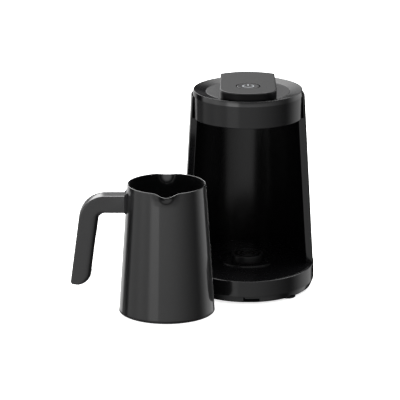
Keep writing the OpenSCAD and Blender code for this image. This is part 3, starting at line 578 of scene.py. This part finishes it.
def circuit_board(name, base):
    """Solder mask over faint copper tracks."""
    f = Finish(name)
    tracks = f.ramp(f.noise(2 * MM, 0, (1, 0.2, 1)), 0.5, 0.53)
    return f.paint(
        base_color=f.tint(tracks, base, scaled(base, 1.7)),
        roughness=f.noise(3 * MM) * 0.1 + 0.3,
        normal=f.bump(tracks, 0.02 * MM),
    )


# Finish of each material slot and of each node that differs from its slot: maker and values
FINISHES = {
    "satin_dark_grey": (moulded, 0.14, 0.35 * MM, 0.0015 * MM),
    "gloss_black": (polished, 0.12, 0.45),
    "bay_liner": (polished, 0.22, 0.48, 0.07),
    "bay_floor": (polished, 0.25, 0.25),
    "black_plastic": (moulded, 0.4, 0.4 * MM, 0.006 * MM, 0.28),
    "pod_housing": (moulded, 0.3, 0.4 * MM, 0.006 * MM, 0.1),
    "foot_rubber": (moulded, 0.75, 0.5 * MM, 0.02 * MM, 0.3),
    "screw_steel": (bare_metal, 0.3, (1, 1, 0.2)),
    "contact_brass": (bare_metal, 0.22, (1, 0.2, 1)),
    "board_green": (circuit_board,),
    "relay_blue": (polished, 0.25),
    "winding_yellow": (moulded, 0.5, 0.8 * MM, 0.02 * MM),
    "wire_sleeve": (moulded, 0.55, 0.6 * MM, 0.02 * MM),
    "inlay_grey": (moulded, 0.2, 0.3 * MM, 0.002 * MM, 0.65),
    "sensor_glass": (polished, 0.05),
    "pod_grey": (moulded, 0.2, 0.3 * MM, 0.002 * MM, 0.25),
    "sign_white": (moulded, 0.4, 0.5 * MM, 0.004 * MM),
    "jug_coat": (jug_coat,),
    "bare_steel": (bare_metal, 0.32, (0.06, 1, 1)),
    "cast_aluminium": (bare_metal, 0.5, (1, 1, 1), 0.03 * MM),
    "grip_plastic": (moulded, 0.2, 0.3 * MM, 0.003 * MM, 0.8),
    # painted shade: near-black, almost unreflecting finish that stands in for the shadow in hollows
    "recess": (moulded, 0.9, 0.5 * MM, 0.01 * MM, 0.02),
}


def finish_for(slot, node=""):
    """The finish of a material slot, or a node's own one, made once."""
    kind = node if node in FINISHES else slot
    name = kind + "_finish"
    maker, *values = FINISHES[kind]
    base = getattr(bpy.context.scene.coffee_finishes, slot)
    return bpy.data.materials.get(name) or maker(name, base, *values)


def paint_shade(piece, inside):
    """Painted shade: near-black matt finish on the faces of a hollow where shadow falls, picked by their
    place from the machine's axis.
    """
    piece.data.materials.append(finish_for("gloss_black", "recess"))
    for face in piece.data.polygons:
        if inside(face.center - MACHINE):
            face.material_index = 1
    return piece


# ---- Machine


def base_band(s):
    """Oval skirt with a bevel below, a soft lip above, a front notch whose faces carry painted shade,
    and the lead's hole.
    """
    wall, bevel_in, bevel_top = s.band_wall, s.band_bevel_in, Z_BASE + s.band_bevel_h
    ledge, ledge_t = 2.8 * MM, 2 * MM
    under = Z_FLOOR - s.floor_t
    outline = rounded([
        (bevel_in, Z_BASE, 0.4 * MM), (0, bevel_top, 2 * MM), (0, Z_FLOOR, s.band_lip),
        (wall, Z_FLOOR, 0.3 * MM), (wall, under, 0), (wall + ledge, under, 0),
        (wall + ledge, under - ledge_t, 0), (wall, under - ledge_t - ledge, 0),
        (wall, bevel_top + MM, 0), (bevel_in + wall, Z_BASE, 0),
    ])
    band = Form().rings([(BAND_A - d, BAND_B - d, z) for d, z in outline])

    left, right = s.notch_x - s.notch_w / 2, s.notch_x + s.notch_w / 2
    back, top = bevel_in - BAND_B, Z_BASE + s.notch_h
    notch = Form().box((left, -BAND_B - MM, Z_BASE - MM), (right, back + 0.6 * MM, top))

    bush_z = (low("cord_inlet_bush").z + high("cord_inlet_bush").z) / 2
    lead_r = s.lead_d / 2
    turn = [TAU * i / 48 for i in range(48)]
    ends = (-8 * MM, 2 * MM)
    bore = Form(MACHINE + Vector((0, BAND_B, bush_z)))
    bore.skin([[(lead_r * cos(t), y, lead_r * sin(t)) for t in turn] for y in ends])

    # faces inside the notch get painted shade
    def notch_shaded(place):
        across = left - HAIR < place.x < right + HAIR
        return across and back - bevel_in / 2 < place.y < back + MM and place.z < top + HAIR

    skirt = carve(band.object("base_skirt"), notch.object("notch"), bore.object("bore"))
    return paint_shade(fitted(skirt, "base_band"), notch_shaded)


def rubber_feet(s):
    """Four soft round feet with a dimple underneath."""
    feet = Form((0, 0, 0))
    (x0, y0, z0), (x1, y1, z1) = low("rubber_feet"), high("rubber_feet")
    r, dimple = s.foot_d / 2, z0 + 0.4 * MM
    outline = rounded([
        (0, dimple, 0), (r / 2, dimple, 0.2 * MM), (r / 2 + 0.1 * MM, z0, 0.2 * MM),
        (r - 0.5 * MM, z0, 0.4 * MM), (r, z0 + 0.6 * MM, 0.3 * MM), (r, Z_BASE, 0.15 * MM),
        (s.foot_stud_r, Z_BASE, 0), (s.foot_stud_r, z1, 0), (0, z1, 0),
    ], closed=False)
    for x in (x0 + r, x1 - r):
        for y in (y0 + r, y1 - r):
            feet.centre = Vector((x, y, 0))
            feet.turned(outline, along=False, steps=64)
    return fitted(feet.object("soft_feet"), "rubber_feet")


def bay_floor(s):
    """Polished oval floor with a raised ring and a round hole for the connector."""
    edge = s.band_wall + s.floor_gap
    a, b = BAND_A - edge, BAND_B - edge
    under, ring_top, soft = Z_FLOOR - s.floor_t, Z_FLOOR + s.ring_h, 0.3 * MM
    rim = [
        (0, under), (0, Z_FLOOR - soft), (soft / 3, Z_FLOOR - soft / 3), (soft, Z_FLOOR),
        (2 * soft, Z_FLOOR),
    ]
    ring, ring_w, slope = s.ring_d / 2, 2 * MM, 0.2 * MM
    hole = s.hub_d / 2 + 0.2 * MM
    step = rounded([
        (ring + 2 * MM, Z_FLOOR, 0), (ring, Z_FLOOR, soft), (ring - slope, ring_top, 0.5 * MM),
        (ring - ring_w + slope, ring_top, 0.5 * MM), (ring - ring_w, Z_FLOOR, soft),
        (hole, Z_FLOOR, soft), (hole, under, 0),
    ], closed=False)
    rows = [(a - d, b - d, z) for d, z in rim] + [(r, r, z) for r, z in step]
    return fitted(Form().rings(rows).object("polished_floor"), "bay_floor")


def connector_hub(s):
    """Round connector with two grooves for the contacts and a hole for the pin."""
    bottom, top = low("connector_hub").z, high("connector_hub").z
    r, pin_r, soft = s.hub_d / 2, 2.6 * MM, 0.35 * MM
    neck, flange, flange_t = r + 2 * MM, r + 8 * MM, 2 * MM
    flange_z = Z_FLOOR - s.floor_t
    corners = [
        (pin_r, bottom, 0), (neck, bottom, 0), (neck, flange_z - flange_t, 0),
        (flange, flange_z - flange_t, 0), (flange, flange_z, 0), (r, flange_z, 0), (r, top, 1.1 * MM),
    ]
    groove_w, groove_z = 2.4 * MM, top - 5.4 * MM
    for outer in (r - 3.2 * MM, r - 8.2 * MM):
        inner = outer - groove_w
        corners += [(outer, top, soft), (outer, groove_z, 0), (inner, groove_z, 0), (inner, top, soft)]
    corners.append((pin_r, top, soft))
    return fitted(Form().turned(rounded(corners), steps=160).object("hub"), "connector_hub")


def shell_half(z, inset):
    """Half-width and half-depth of the shell at a height, set in by an inset."""
    u = (z - Z_FLOOR) / (Z_SHELL_TOP - Z_FLOOR)
    return FOOT_A + (SHELL_TOP_R - FOOT_A) * u - inset, FOOT_B + (SHELL_TOP_R - FOOT_B) * u - inset


def side_x(z, inset, y):
    """Distance of the shell's side from the middle, at a height and a depth."""
    a, b = shell_half(z, inset)
    return a * sqrt(1 - (y / b) ** 2)


def wrapped(outline, y_cut, steps=128):
    """Form over an outline of inset and height that runs round the back of the machine."""
    rows = []
    for i in range(steps + 1):
        row = []
        for inset, z in outline:
            a, b = shell_half(z, inset)
            start = asin(y_cut / b)
            t = start + (pi - 2 * start) * i / steps
            row.append((a * cos(t), b * sin(t), z))
        rows.append(row)
    return Form().skin(rows)


def upright(inset, z0, z1, steps=10):
    """Points up a wall of the shell, so that it follows the change from oval to round."""
    return [(inset, z0 + (z1 - z0) * k / steps, 0) for k in range(1, steps)]


def rear_shell(s):
    """Tall shell, oval below and round above, with its front ends set back behind the strips."""
    wall, soft = s.shell_wall, 0.45 * MM
    outline = rounded([
        (0, Z_FLOOR, 0), *upright(0, Z_FLOOR, Z_SHELL_TOP), (0, Z_SHELL_TOP, soft),
        (wall, Z_SHELL_TOP, soft), *upright(wall, Z_SHELL_TOP, Z_FLOOR), (wall, Z_FLOOR, 0),
    ])
    shell = wrapped(outline, SHELL_FRONT).object("polished_shell")
    room = Form().box((-BAND_A, SHELL_FRONT - MM, Z_FLOOR - MM), (BAND_A, TRIM_BACK, Z_BAY_TOP))
    return fitted(carve(shell, room.object("room")), "rear_shell")


def bay_liner(s):
    """Inner wall of the bay, with a flange under the cap."""
    face, back = s.trim_w, s.trim_w - s.liner_wall
    flange, flange_t = s.shell_wall + 0.2 * MM, 1.6 * MM
    outline = rounded([
        (back, Z_FLOOR, 0), (back, Z_BAY_TOP - 2 * flange_t, 0), (flange, Z_BAY_TOP - flange_t, 0),
        (flange, Z_BAY_TOP, 0), (face, Z_BAY_TOP, 0), *upright(face, Z_BAY_TOP, Z_FLOOR),
        (face, Z_FLOOR, 0),
    ])
    return fitted(wrapped(outline, TRIM_BACK).object("polished_liner"), "bay_liner")


def edge_trim(s, node, side):
    """Satin strip on one front edge of the shell."""
    front = low(node).y - MACHINE.y
    soft, steps = 0.2 * MM, 12
    rows = []
    for k in range(steps + 1):
        z = Z_FLOOR + (Z_BAY_TOP - Z_FLOOR) * k / steps
        corners = [
            (side_x(z, s.trim_w, front), front, s.trim_edge),
            (side_x(z, 0, front), front, s.trim_edge),
            (side_x(z, 0, TRIM_BACK), TRIM_BACK, soft),
            (side_x(z, s.trim_w, TRIM_BACK), TRIM_BACK, soft),
        ]
        rows.append([(side * p[0], p[1], z) for p in rounded(corners)])
    return fitted(Form().skin(rows).object(node.replace("edge_trim", "strip")), node)


def cap_housing(s):
    """Round head with a tall side, a slight bevel above it and a shallow dish on top."""
    z_side = Z_BAY_TOP + s.cap_side_h
    dish, rim = DISH_R + 0.1 * MM, CAP_R - s.cap_bevel_in
    inner, under = CAP_R - s.cap_wall, Z_DECK - s.cap_wall
    outline = rounded([
        (0, Z_DECK, 0), (dish, Z_DECK, 0), (dish, Z_INLAY, 0.15 * MM),
        (rim - s.cap_rim_w, Z_RIM, 0.3 * MM), (rim, Z_RIM, 0.3 * MM), (CAP_R, z_side, 0.5 * MM),
        (CAP_R, Z_BAY_TOP, 0.6 * MM), (inner, Z_BAY_TOP, 0.2 * MM), (inner, z_side - 2 * MM, 0),
        (inner - MM, z_side, 0), (DISH_R, under, 0), (0, under, 0),
    ], closed=False)
    return fitted(Form().turned(outline, along=False).object("head"), "cap_housing")


def cap_inlay(s):
    """Light disc in the head's dish."""
    corners = [(0, Z_DECK, 0), (DISH_R, Z_DECK, 0), (DISH_R, Z_INLAY, 0.25 * MM), (0, Z_INLAY, 0)]
    outline = rounded(corners, closed=False)
    return fitted(Form().turned(outline, along=False).object("dish_disc"), "cap_inlay")


# ---- Control pod


def pod_outline(p):
    """Pod from above: a wide arc in front, round corners, straight sides and an arc behind."""
    corner_x = p.width / 2 - p.corner_r
    front_y = p.edge_r - p.front
    corner_y = front_y - sqrt((p.edge_r - p.corner_r) ** 2 - corner_x**2)
    angle = atan2(corner_y - front_y, corner_x)
    back_y = p.back - p.edge_r
    half = p.back_width / 2
    back_angle = acos(half / p.edge_r)
    ends = arc((0, back_y), p.edge_r, back_angle, pi - back_angle, 20)
    corners = [
        *arc((0, front_y), p.edge_r, -pi - angle, angle, 24),
        *arc((corner_x, corner_y), p.corner_r, angle, 0, 16)[1:],
        (*ends[0][:2], p.back_corner_r), *ends[2:-2], (*ends[-1][:2], p.back_corner_r),
        *arc((-corner_x, corner_y), p.corner_r, pi, pi - angle, 16)[:-1],
    ]
    return rounded(corners)


def pod_housing(p, s):
    """Dark wall of the pod, which rides over the dish's slope in front."""
    rows = [(p.seam, Z_LID), (0, Z_LID - p.seam), (0, Z_INLAY), (p.wall, Z_INLAY), (p.wall, Z_LID)]
    wall = Form().layers(pod_outline(p), rows, along=True).object("pod_wall")
    rim, below, gap = CAP_R - s.cap_bevel_in, Z_INLAY - MM, 0.05 * MM
    slope = [
        (DISH_R, below), (rim, below), (rim, Z_RIM + gap), (rim - s.cap_rim_w, Z_RIM + gap),
        (DISH_R, Z_INLAY + gap),
    ]
    return fitted(carve(wall, Form().turned(slope, steps=160).object("slope")), "pod_housing")


def pod_lid(p):
    """Satin lid with a soft edge and a round hole for the button, whose wall carries painted shade for
    the dark gap.
    """
    profile = rounded([
        (MM, Z_LID, 0), (p.seam, Z_LID, 0), (0, Z_LID + p.seam, 0.1 * MM), (0, Z_TOP, p.lid_edge),
        (1.8 * MM, Z_TOP, 0),
    ], closed=False)
    lid = Form().layers(pod_outline(p), profile).object("pod_cover")
    r = p.button_d / 2 + p.button_gap
    flare = r + 0.18 * MM
    hole = [
        (0, Z_LID - MM), (r, Z_LID - MM), (r, Z_TOP - 0.2 * MM), (r + 0.05 * MM, Z_TOP - 0.07 * MM),
        (flare, Z_TOP + HAIR), (flare, Z_TOP + MM), (0, Z_TOP + MM),
    ]
    cutter = Form(BUTTON).turned(hole, along=False, steps=96).object("hole")
    piece = fitted(carve(lid, cutter), "pod_lid", sharp=25)
    # the hole's wall gets painted shade, for the dark gap round the button
    return paint_shade(piece, lambda place: hypot(place.x, place.y - BUTTON_Y) < r + HAIR)


def power_button(p):
    """Round button with a shallow hollow."""
    r, flange = p.button_d / 2, width("power_button") / 2
    bottom, flange_top = low("power_button").z, low("power_button").z + MM
    corners = rounded([
        (0, bottom, 0), (flange, bottom, 0), (flange, flange_top, 0), (r, flange_top, 0),
        (r, Z_TOP, 0.45 * MM), (r - 1.4 * MM, Z_TOP, 0.6 * MM),
        (r - 4 * MM, Z_TOP - p.button_dish * 0.8, 3 * MM), (0, Z_TOP - p.button_dish, 0),
    ], closed=False)
    form = Form(BUTTON).turned(corners, along=False, steps=128)
    return fitted(form.object("button_cap"), "power_button")


def power_sign(p):
    """Open ring with a bar in its gap, let into the button."""
    r, half = p.sign_d / 2, p.sign_line / 2
    start = (pi + p.sign_gap) / 2
    end = start + TAU - p.sign_gap
    ring = arc((0, 0), r, start, end, 64) + arc((0, 0), r - p.sign_line, end, start, 64)
    near, far = 0.2 * r, 1.2 * r
    bar = [(-half, near, half), (half, near, half), (half, far, half), (-half, far, half)]
    top, edge = high("power_sign").z, 0.1 * MM
    rows = [(0, low("power_sign").z), (0, top - edge), (edge, top)]
    form = Form(BUTTON)
    for outline in (ring, bar):
        form.layers(rounded(outline), rows)
    return fitted(form.object("light_sign"), "power_sign")


# ---- Jug


def cone_r(j, z):
    """Outer radius of the wall's cone at a height."""
    return (j.foot_d + (j.rim_d - j.foot_d) * z / JUG_H) / 2


def spout_share(j, t):
    """How much of a spout there is at an angle: 1 in its middle and 0 beside it."""
    near = min(abs(t - pi / 2), abs(t - 1.5 * pi)) / (j.spout_angle / 2)
    return 0 if near >= 1 else ((1 + cos(pi * near)) / 2) ** 1.3


def jug_wall(j):
    """Thin cone with two pressed spouts and a rounded rim."""
    steps, low_steps, high_steps, rim_steps = 384, 24, 20, 8
    start, bead = JUG_H - j.spout_h, j.wall / 2
    rim = [pi * k / rim_steps for k in range(1, rim_steps)]
    rows = []
    for i in range(steps):
        t = TAU * i / steps
        share = spout_share(j, t)
        top = JUG_H - j.spout_dip * share - bead
        rise = [(0, RING_H + (start - RING_H) * k / low_steps) for k in range(low_steps)]
        rise += [(k / high_steps, start + (top - start) * k / high_steps) for k in range(high_steps + 1)]
        section = [(v, z, 0) for v, z in rise]
        section += [(1, top + bead * sin(f), bead * (1 - cos(f))) for f in rim]
        section += [(v, z, j.wall) for v, z in reversed(rise)]
        rows.append([])
        for v, z, inset in section:
            r = cone_r(j, z) - inset + j.spout_reach * share * v * v
            rows[-1].append((r * cos(t), r * sin(t), z))
    return fitted(Form(JUG).skin(rows, along=True).object("jug_shell"), "jug_wall")


def screw_bore(name, place, start, head, shank):
    """Cutter for a screw from below; head and shank are each a radius and the height of its end."""
    outline = [(0, start), (head[0], start), head, (shank[0], head[1]), shank, (0, shank[1])]
    return Form(JUG + Vector(place)).turned(outline, along=False, steps=32).object(name)


def foot_ring(j):
    """Dark ring under the wall, with the tray that closes the jug's underside."""
    r, toe = j.foot_d / 2, 0.8 * MM
    under, top, lip = 2 * MM, 4 * MM, RING_H + 3 * MM
    inside = j.wall + 0.2 * MM
    inner, lip_r = cone_r(j, RING_H) - inside, cone_r(j, lip) - inside
    hole = width("jug_connector") / 2 - 5 * MM + 0.2 * MM
    outline = rounded([
        (r - 3 * MM, 0, 0.4 * MM), (r - MM, 0, 0.3 * MM), (cone_r(j, toe), toe, 0.3 * MM),
        (cone_r(j, RING_H), RING_H, 0.2 * MM), (inner, RING_H, 0), (lip_r, lip, 0),
        (lip_r - 2 * MM, lip, 0), (r - 4 * MM, top, 0), (hole, top, 0), (hole, under, 0.3 * MM),
        (r - 4.5 * MM, under, 0.5 * MM),
    ])
    ring = Form(JUG).turned(outline).object("foot_tray")
    screw_circle = 34 * MM
    holes = []
    for k in range(3):
        t = TAU * k / 3 + radians(30)
        place = screw_circle * Vector((cos(t), sin(t), 0))
        holes.append(screw_bore(f"hole_{k}", place, MM, (2.7 * MM, 3.4 * MM), (1.4 * MM, top + MM)))
    return fitted(carve(ring, *holes), "jug_foot_ring")


def handle_frame(h):
    """Directions along the grip and out from the jug, then the bend's centre and end, in X and Z."""
    along = Vector((-sin(h.lean), -cos(h.lean)))
    out = Vector((-cos(h.lean), sin(h.lean)))
    centre = Vector((-h.bend_x, h.arm_z - h.bend_r))
    return along, out, centre, centre + h.bend_r * out


def handle_outline(h):
    """Side view of the handle: arm, bend and leaning grip with a round toe and heel."""
    along, out, centre, bend_end = handle_frame(h)
    arm_half, half = h.arm_h / 2, h.grip_w / 2
    turn, quarter = pi - h.lean, pi / 2

    def bend(side, start, end, steps=24):
        points = []
        for k in range(steps + 1):
            t = start + (end - start) * k / steps
            w = arm_half + (half - arm_half) * abs(t - quarter) / (quarter - h.lean)
            points.append((*(centre + (h.bend_r + side * w) * Vector((cos(t), sin(t)))), 0))
        return points

    end = bend_end + h.grip_len * along
    toe = end + (half - h.toe_r) * out - h.toe_r * along
    heel = end - (half - h.heel_r) * out - h.heel_r * along
    corners = [
        (ARM_START, h.arm_z - arm_half, 0), (ARM_START, h.arm_z + arm_half, 0),
        *bend(1, quarter, turn),
        *arc(toe, h.toe_r, turn, turn + quarter, 8),
        *arc(heel, h.heel_r, turn + quarter, turn + 2 * quarter, 12),
        *bend(-1, turn, quarter),
    ]
    return rounded(corners)


def insert_corners(h, gap, depth, radius):
    """Side view of the panel in the grip's inner face."""
    along, out, _, bend_end = handle_frame(h)
    start, end = h.insert_top + gap, h.grip_len - h.insert_bottom - gap
    face, bed = h.grip_w / 2 + depth, h.grip_w / 2 - h.insert_t + gap
    places = [(start, face), (end, face), (end, bed), (start, bed)]
    return rounded([(*(bend_end + a * along - d * out), radius) for a, d in places])


def tongue(h, play, past):
    """Corners of the bracket's tongue in the arm, or of its slot with play; past the arm's end."""
    long, half_w, half_h = 15 * MM + play, 4.5 * MM + play, 2.5 * MM + play
    return (ARM_START - long, -half_w, h.arm_z - half_h), (ARM_START + past, half_w, h.arm_z + half_h)


def handle_grip(h):
    """Soft-touch handle with rounded edges and a panel let into its inner face."""
    grip = Form(JUG).slab(
        handle_outline(h), HANDLE_HALF, h.edge, flat_x=ARM_START, softer=h.inner_edge - h.edge
    ).object("soft_grip")
    side_view = insert_corners(h, gap=0, depth=4 * MM, radius=0.3 * MM)
    room = Form(JUG).slab(side_view, HANDLE_HALF - 3 * MM, 0.3 * MM)
    slot = Form(JUG).box(*tongue(h, 0.2 * MM, 2 * MM))
    cuts = [room.object("room"), slot.object("slot")]
    bottom = h.arm_z - h.arm_h / 2
    head, shank = (2.8 * MM, bottom + 2 * MM), (1.5 * MM, h.arm_z)
    for k, inward in enumerate((4.5 * MM, 11 * MM)):
        place = (ARM_START - inward, 0, 0)
        cuts.append(screw_bore(f"bore_{k}", place, bottom - MM, head, shank))
    return fitted(carve(grip, *cuts), "handle_grip")


def handle_insert(h):
    """Polished panel in the grip's inner face."""
    side_view = insert_corners(h, gap=0.1 * MM, depth=-0.3 * MM, radius=0.92 * MM)
    panel = Form(JUG).slab(side_view, HANDLE_HALF - 3.1 * MM, 0.6 * MM)
    return fitted(panel.object("grip_panel"), "handle_insert")


def handle_bracket(j, h):
    """Dark block between the wall and the arm, with a sloping top and a tongue into the arm."""
    soft, inner_x = 1.3 * MM, -10 * MM
    bottom, arm_top = h.arm_z - h.arm_h / 2 - 0.6 * MM, h.arm_z + h.arm_h / 2
    top = arm_top + 3 * MM
    slope_x = -cone_r(j, h.arm_z) * cos(radians(14)) - 0.4 * MM
    corners = [
        (ARM_START, bottom, soft), (inner_x, bottom, 0), (inner_x, top, 0), (slope_x, top, soft),
        (ARM_START, arm_top + 0.4 * MM, soft),
    ]
    block = Form(JUG).slab(rounded(corners), HANDLE_HALF + MM, 0.8 * MM)
    block.box(*tongue(h, 0, HAIR))
    z0, z1, gap = h.arm_z - 30 * MM, h.arm_z + 30 * MM, 0.1 * MM
    cone = [(0, z0), (cone_r(j, z0) + gap, z0), (cone_r(j, z1) + gap, z1), (0, z1)]
    cutter = Form(JUG).turned(cone, along=False, steps=192)
    return fitted(carve(block.object("bracket_block"), cutter.object("cone")), "handle_bracket")


# ---- Studio

# Light panels: two edges in azimuth, from the front towards the right, and their softness, in
# degrees, then the strength below the horizon and what the horizon adds
PANELS = [
    (-62, 52, 24, 60, 0.66, 0.9),
    (-44, -20, 6, 1.2, 0.22, 1.9),
    (-108, -60, 5, 14, 0.5, 1.0),
    (-180, -135, 3, 5, 0.95, -0.95),
    (102, 150, 20, 4, 0.72, 1.05),
]


def studio_light(st):
    """World: light panels by direction for the object, plain white for the camera."""
    world = bpy.data.worlds.new("studio")
    bpy.context.scene.world = world
    world.use_nodes = True
    n = Nodes(world.node_tree)
    facing = n.add("SeparateXYZ", inputs={0: n.add("TexCoord", output="Generated")})
    x, y, z = (Wire(n, facing.socket.node.outputs[k]) for k in range(3))
    azimuth = x.math("ARCTAN2", x, 0 - y)
    elevation = z.math("ARCSINE", z)

    def span(value, start, end, soft, soft_end):
        """1 between two angles and 0 outside, with soft edges; all in degrees."""
        centre, half = radians((start + end) / 2), radians((end - start) / 2)
        aside = value.math("WRAP", value - centre, -pi, pi)
        soft, soft_end = radians(soft), radians(soft_end)
        rise = n.ramp(aside, -half - soft, -half + soft)
        return rise * n.ramp(aside, half - soft_end, half + soft_end, 1.0, 0.0)

    def above(start, end):
        """Smooth rise from 0 to 1 between two elevations in degrees."""
        return n.ramp(elevation, radians(start), radians(end))

    horizon = above(-14, 4)
    light = span(azimuth, -129, -108, 4, 4) * span(elevation, -18, -14, 0.6, 0.6) * st.left_low
    for start, end, soft, soft_end, low_part, high_part in PANELS:
        light = light + span(azimuth, start, end, soft, soft_end) * (horizon * high_part + low_part)
    light = light * above(-50, -28) * (1 - above(4, 11))
    behind = span(azimuth, 110, 250, 20, 20) * above(18, 65)
    left_behind = span(azimuth, -174, -130, 3, 15) * span(elevation, 9, 36, 1.5, 8)
    top = span(azimuth, -183, -130, 2.5, 15) * above(2, 10) * (1 - above(30, 50))
    light = light + behind * st.sky + left_behind * st.sky_left + top * st.top
    light = light + above(20, 50) * st.ambient
    light = light + (1 - above(-62, -45)) * span(azimuth, -70, 100, 25, 25) * st.below
    seen = n.add("LightPath", output="Is Camera Ray")
    glow = n.add("Background", inputs={"Color": (1, 1, 1, 1), "Strength": seen + (1 - seen) * light})
    n.add("OutputWorld", inputs={"Surface": glow})


def floor(st):
    """Plain pale floor that the camera sees and the polished pieces don't."""
    half, z = st.floor_size / 2, -0.2 * MM
    plane = Form()
    corners = ((-half, -half), (half, -half), (half, half), (-half, half))
    plane.mesh.faces.new([plane.mesh.verts.new((x, y, z)) for x, y in corners])
    ground = plane.object("floor")
    f = Finish("pale_floor")
    f.paint(
        base_color=f.shade((0.82, 0.82, 0.82), 0.4, 0.01),
        roughness=0.8,
        emission_color=(1, 1, 1, 1),
        emission_strength=st.floor_glow,
    )
    ground.data.materials.append(f.material)
    ground.visible_glossy = False
    ground.visible_diffuse = False
    ground.visible_shadow = False


def camera(st):
    """Camera that looks a little down."""
    data = bpy.data.cameras.new("camera")
    data.lens = st.camera_lens
    data.sensor_width = 36
    eye = bpy.data.objects.new("camera", data)
    eye.location = Vector(st.camera_at) + MACHINE
    eye.rotation_euler = (pi / 2 - st.camera_pitch, 0, 0)
    bpy.context.scene.collection.objects.link(eye)
    bpy.context.scene.camera = eye


# ---- Operators


class COFFEE_OT_stage(bpy.types.Operator):
    """Sets up the floor, the studio light and the camera"""

    bl_idname = "coffee.stage"
    bl_label = "Stage"

    def execute(self, context):
        settings = context.scene.coffee_studio
        context.scene.view_settings.view_transform = "Standard"
        studio_light(settings)
        floor(settings)
        camera(settings)
        return {"FINISHED"}


class COFFEE_OT_base(bpy.types.Operator):
    """Builds the oval base with its feet"""

    bl_idname = "coffee.base"
    bl_label = "Base"

    def execute(self, context):
        base_band(context.scene.coffee_machine)
        rubber_feet(context.scene.coffee_machine)
        return {"FINISHED"}


class COFFEE_OT_bay(bpy.types.Operator):
    """Builds the bay: floor, connector, shell, liner and strips"""

    bl_idname = "coffee.bay"
    bl_label = "Bay"

    def execute(self, context):
        sizes = context.scene.coffee_machine
        bay_floor(sizes)
        connector_hub(sizes)
        rear_shell(sizes)
        bay_liner(sizes)
        edge_trim(sizes, "edge_trim_left", -1)
        edge_trim(sizes, "edge_trim_right", 1)
        return {"FINISHED"}


class COFFEE_OT_head(bpy.types.Operator):
    """Builds the head with its light disc"""

    bl_idname = "coffee.head"
    bl_label = "Head"

    def execute(self, context):
        cap_housing(context.scene.coffee_machine)
        cap_inlay(context.scene.coffee_machine)
        return {"FINISHED"}


class COFFEE_OT_pod(bpy.types.Operator):
    """Builds the control pod and its button"""

    bl_idname = "coffee.pod"
    bl_label = "Control pod"

    def execute(self, context):
        sizes = context.scene.coffee_pod
        pod_housing(sizes, context.scene.coffee_machine)
        pod_lid(sizes)
        power_button(sizes)
        power_sign(sizes)
        return {"FINISHED"}


class COFFEE_OT_jug(bpy.types.Operator):
    """Builds the jug's wall and foot"""

    bl_idname = "coffee.jug"
    bl_label = "Jug"

    def execute(self, context):
        jug_wall(context.scene.coffee_jug)
        foot_ring(context.scene.coffee_jug)
        return {"FINISHED"}


class COFFEE_OT_handle(bpy.types.Operator):
    """Builds the handle, its bracket and its inner panel"""

    bl_idname = "coffee.handle"
    bl_label = "Handle"

    def execute(self, context):
        handle = context.scene.coffee_handle
        handle_grip(handle)
        handle_insert(handle)
        handle_bracket(context.scene.coffee_jug, handle)
        return {"FINISHED"}


class COFFEE_OT_fittings(bpy.types.Operator):
    """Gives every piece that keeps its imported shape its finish"""

    bl_idname = "coffee.fittings"
    bl_label = "Fittings"

    def execute(self, context):
        for name, node in frame["nodes"].items():
            if not node.hide_render:
                node.data.materials.clear()
                node.data.materials.append(finish_for(slot_of(name)))
        return {"FINISHED"}


class COFFEE_PT_pieces(bpy.types.Panel):
    """Lists the pieces in the order in which they are made"""

    bl_label = "Coffee maker"
    bl_space_type = "VIEW_3D"
    bl_region_type = "UI"
    bl_category = "Coffee"

    def draw(self, context):
        for maker in MAKERS:
            self.layout.operator(maker.bl_idname)


GROUPS = {
    "coffee_machine": MachineSizes,
    "coffee_pod": PodSizes,
    "coffee_jug": JugSizes,
    "coffee_handle": HandleSizes,
    "coffee_finishes": FinishColours,
    "coffee_studio": StudioSettings,
}
MAKERS = (
    COFFEE_OT_stage, COFFEE_OT_base, COFFEE_OT_bay, COFFEE_OT_head,
    COFFEE_OT_pod, COFFEE_OT_jug, COFFEE_OT_handle, COFFEE_OT_fittings,
)


def register():
    for kind in (*GROUPS.values(), *MAKERS, COFFEE_PT_pieces):
        bpy.utils.register_class(kind)
    for name, group in GROUPS.items():
        setattr(bpy.types.Scene, name, PointerProperty(type=group))


def unregister():
    for name in GROUPS:
        delattr(bpy.types.Scene, name)
    for kind in (COFFEE_PT_pieces, *reversed(MAKERS), *GROUPS.values()):
        bpy.utils.unregister_class(kind)


def main():
    register()
    for maker in MAKERS:
        group, name = maker.bl_idname.split(".")
        getattr(getattr(bpy.ops, group), name)()


if __name__ == "__main__":
    main()
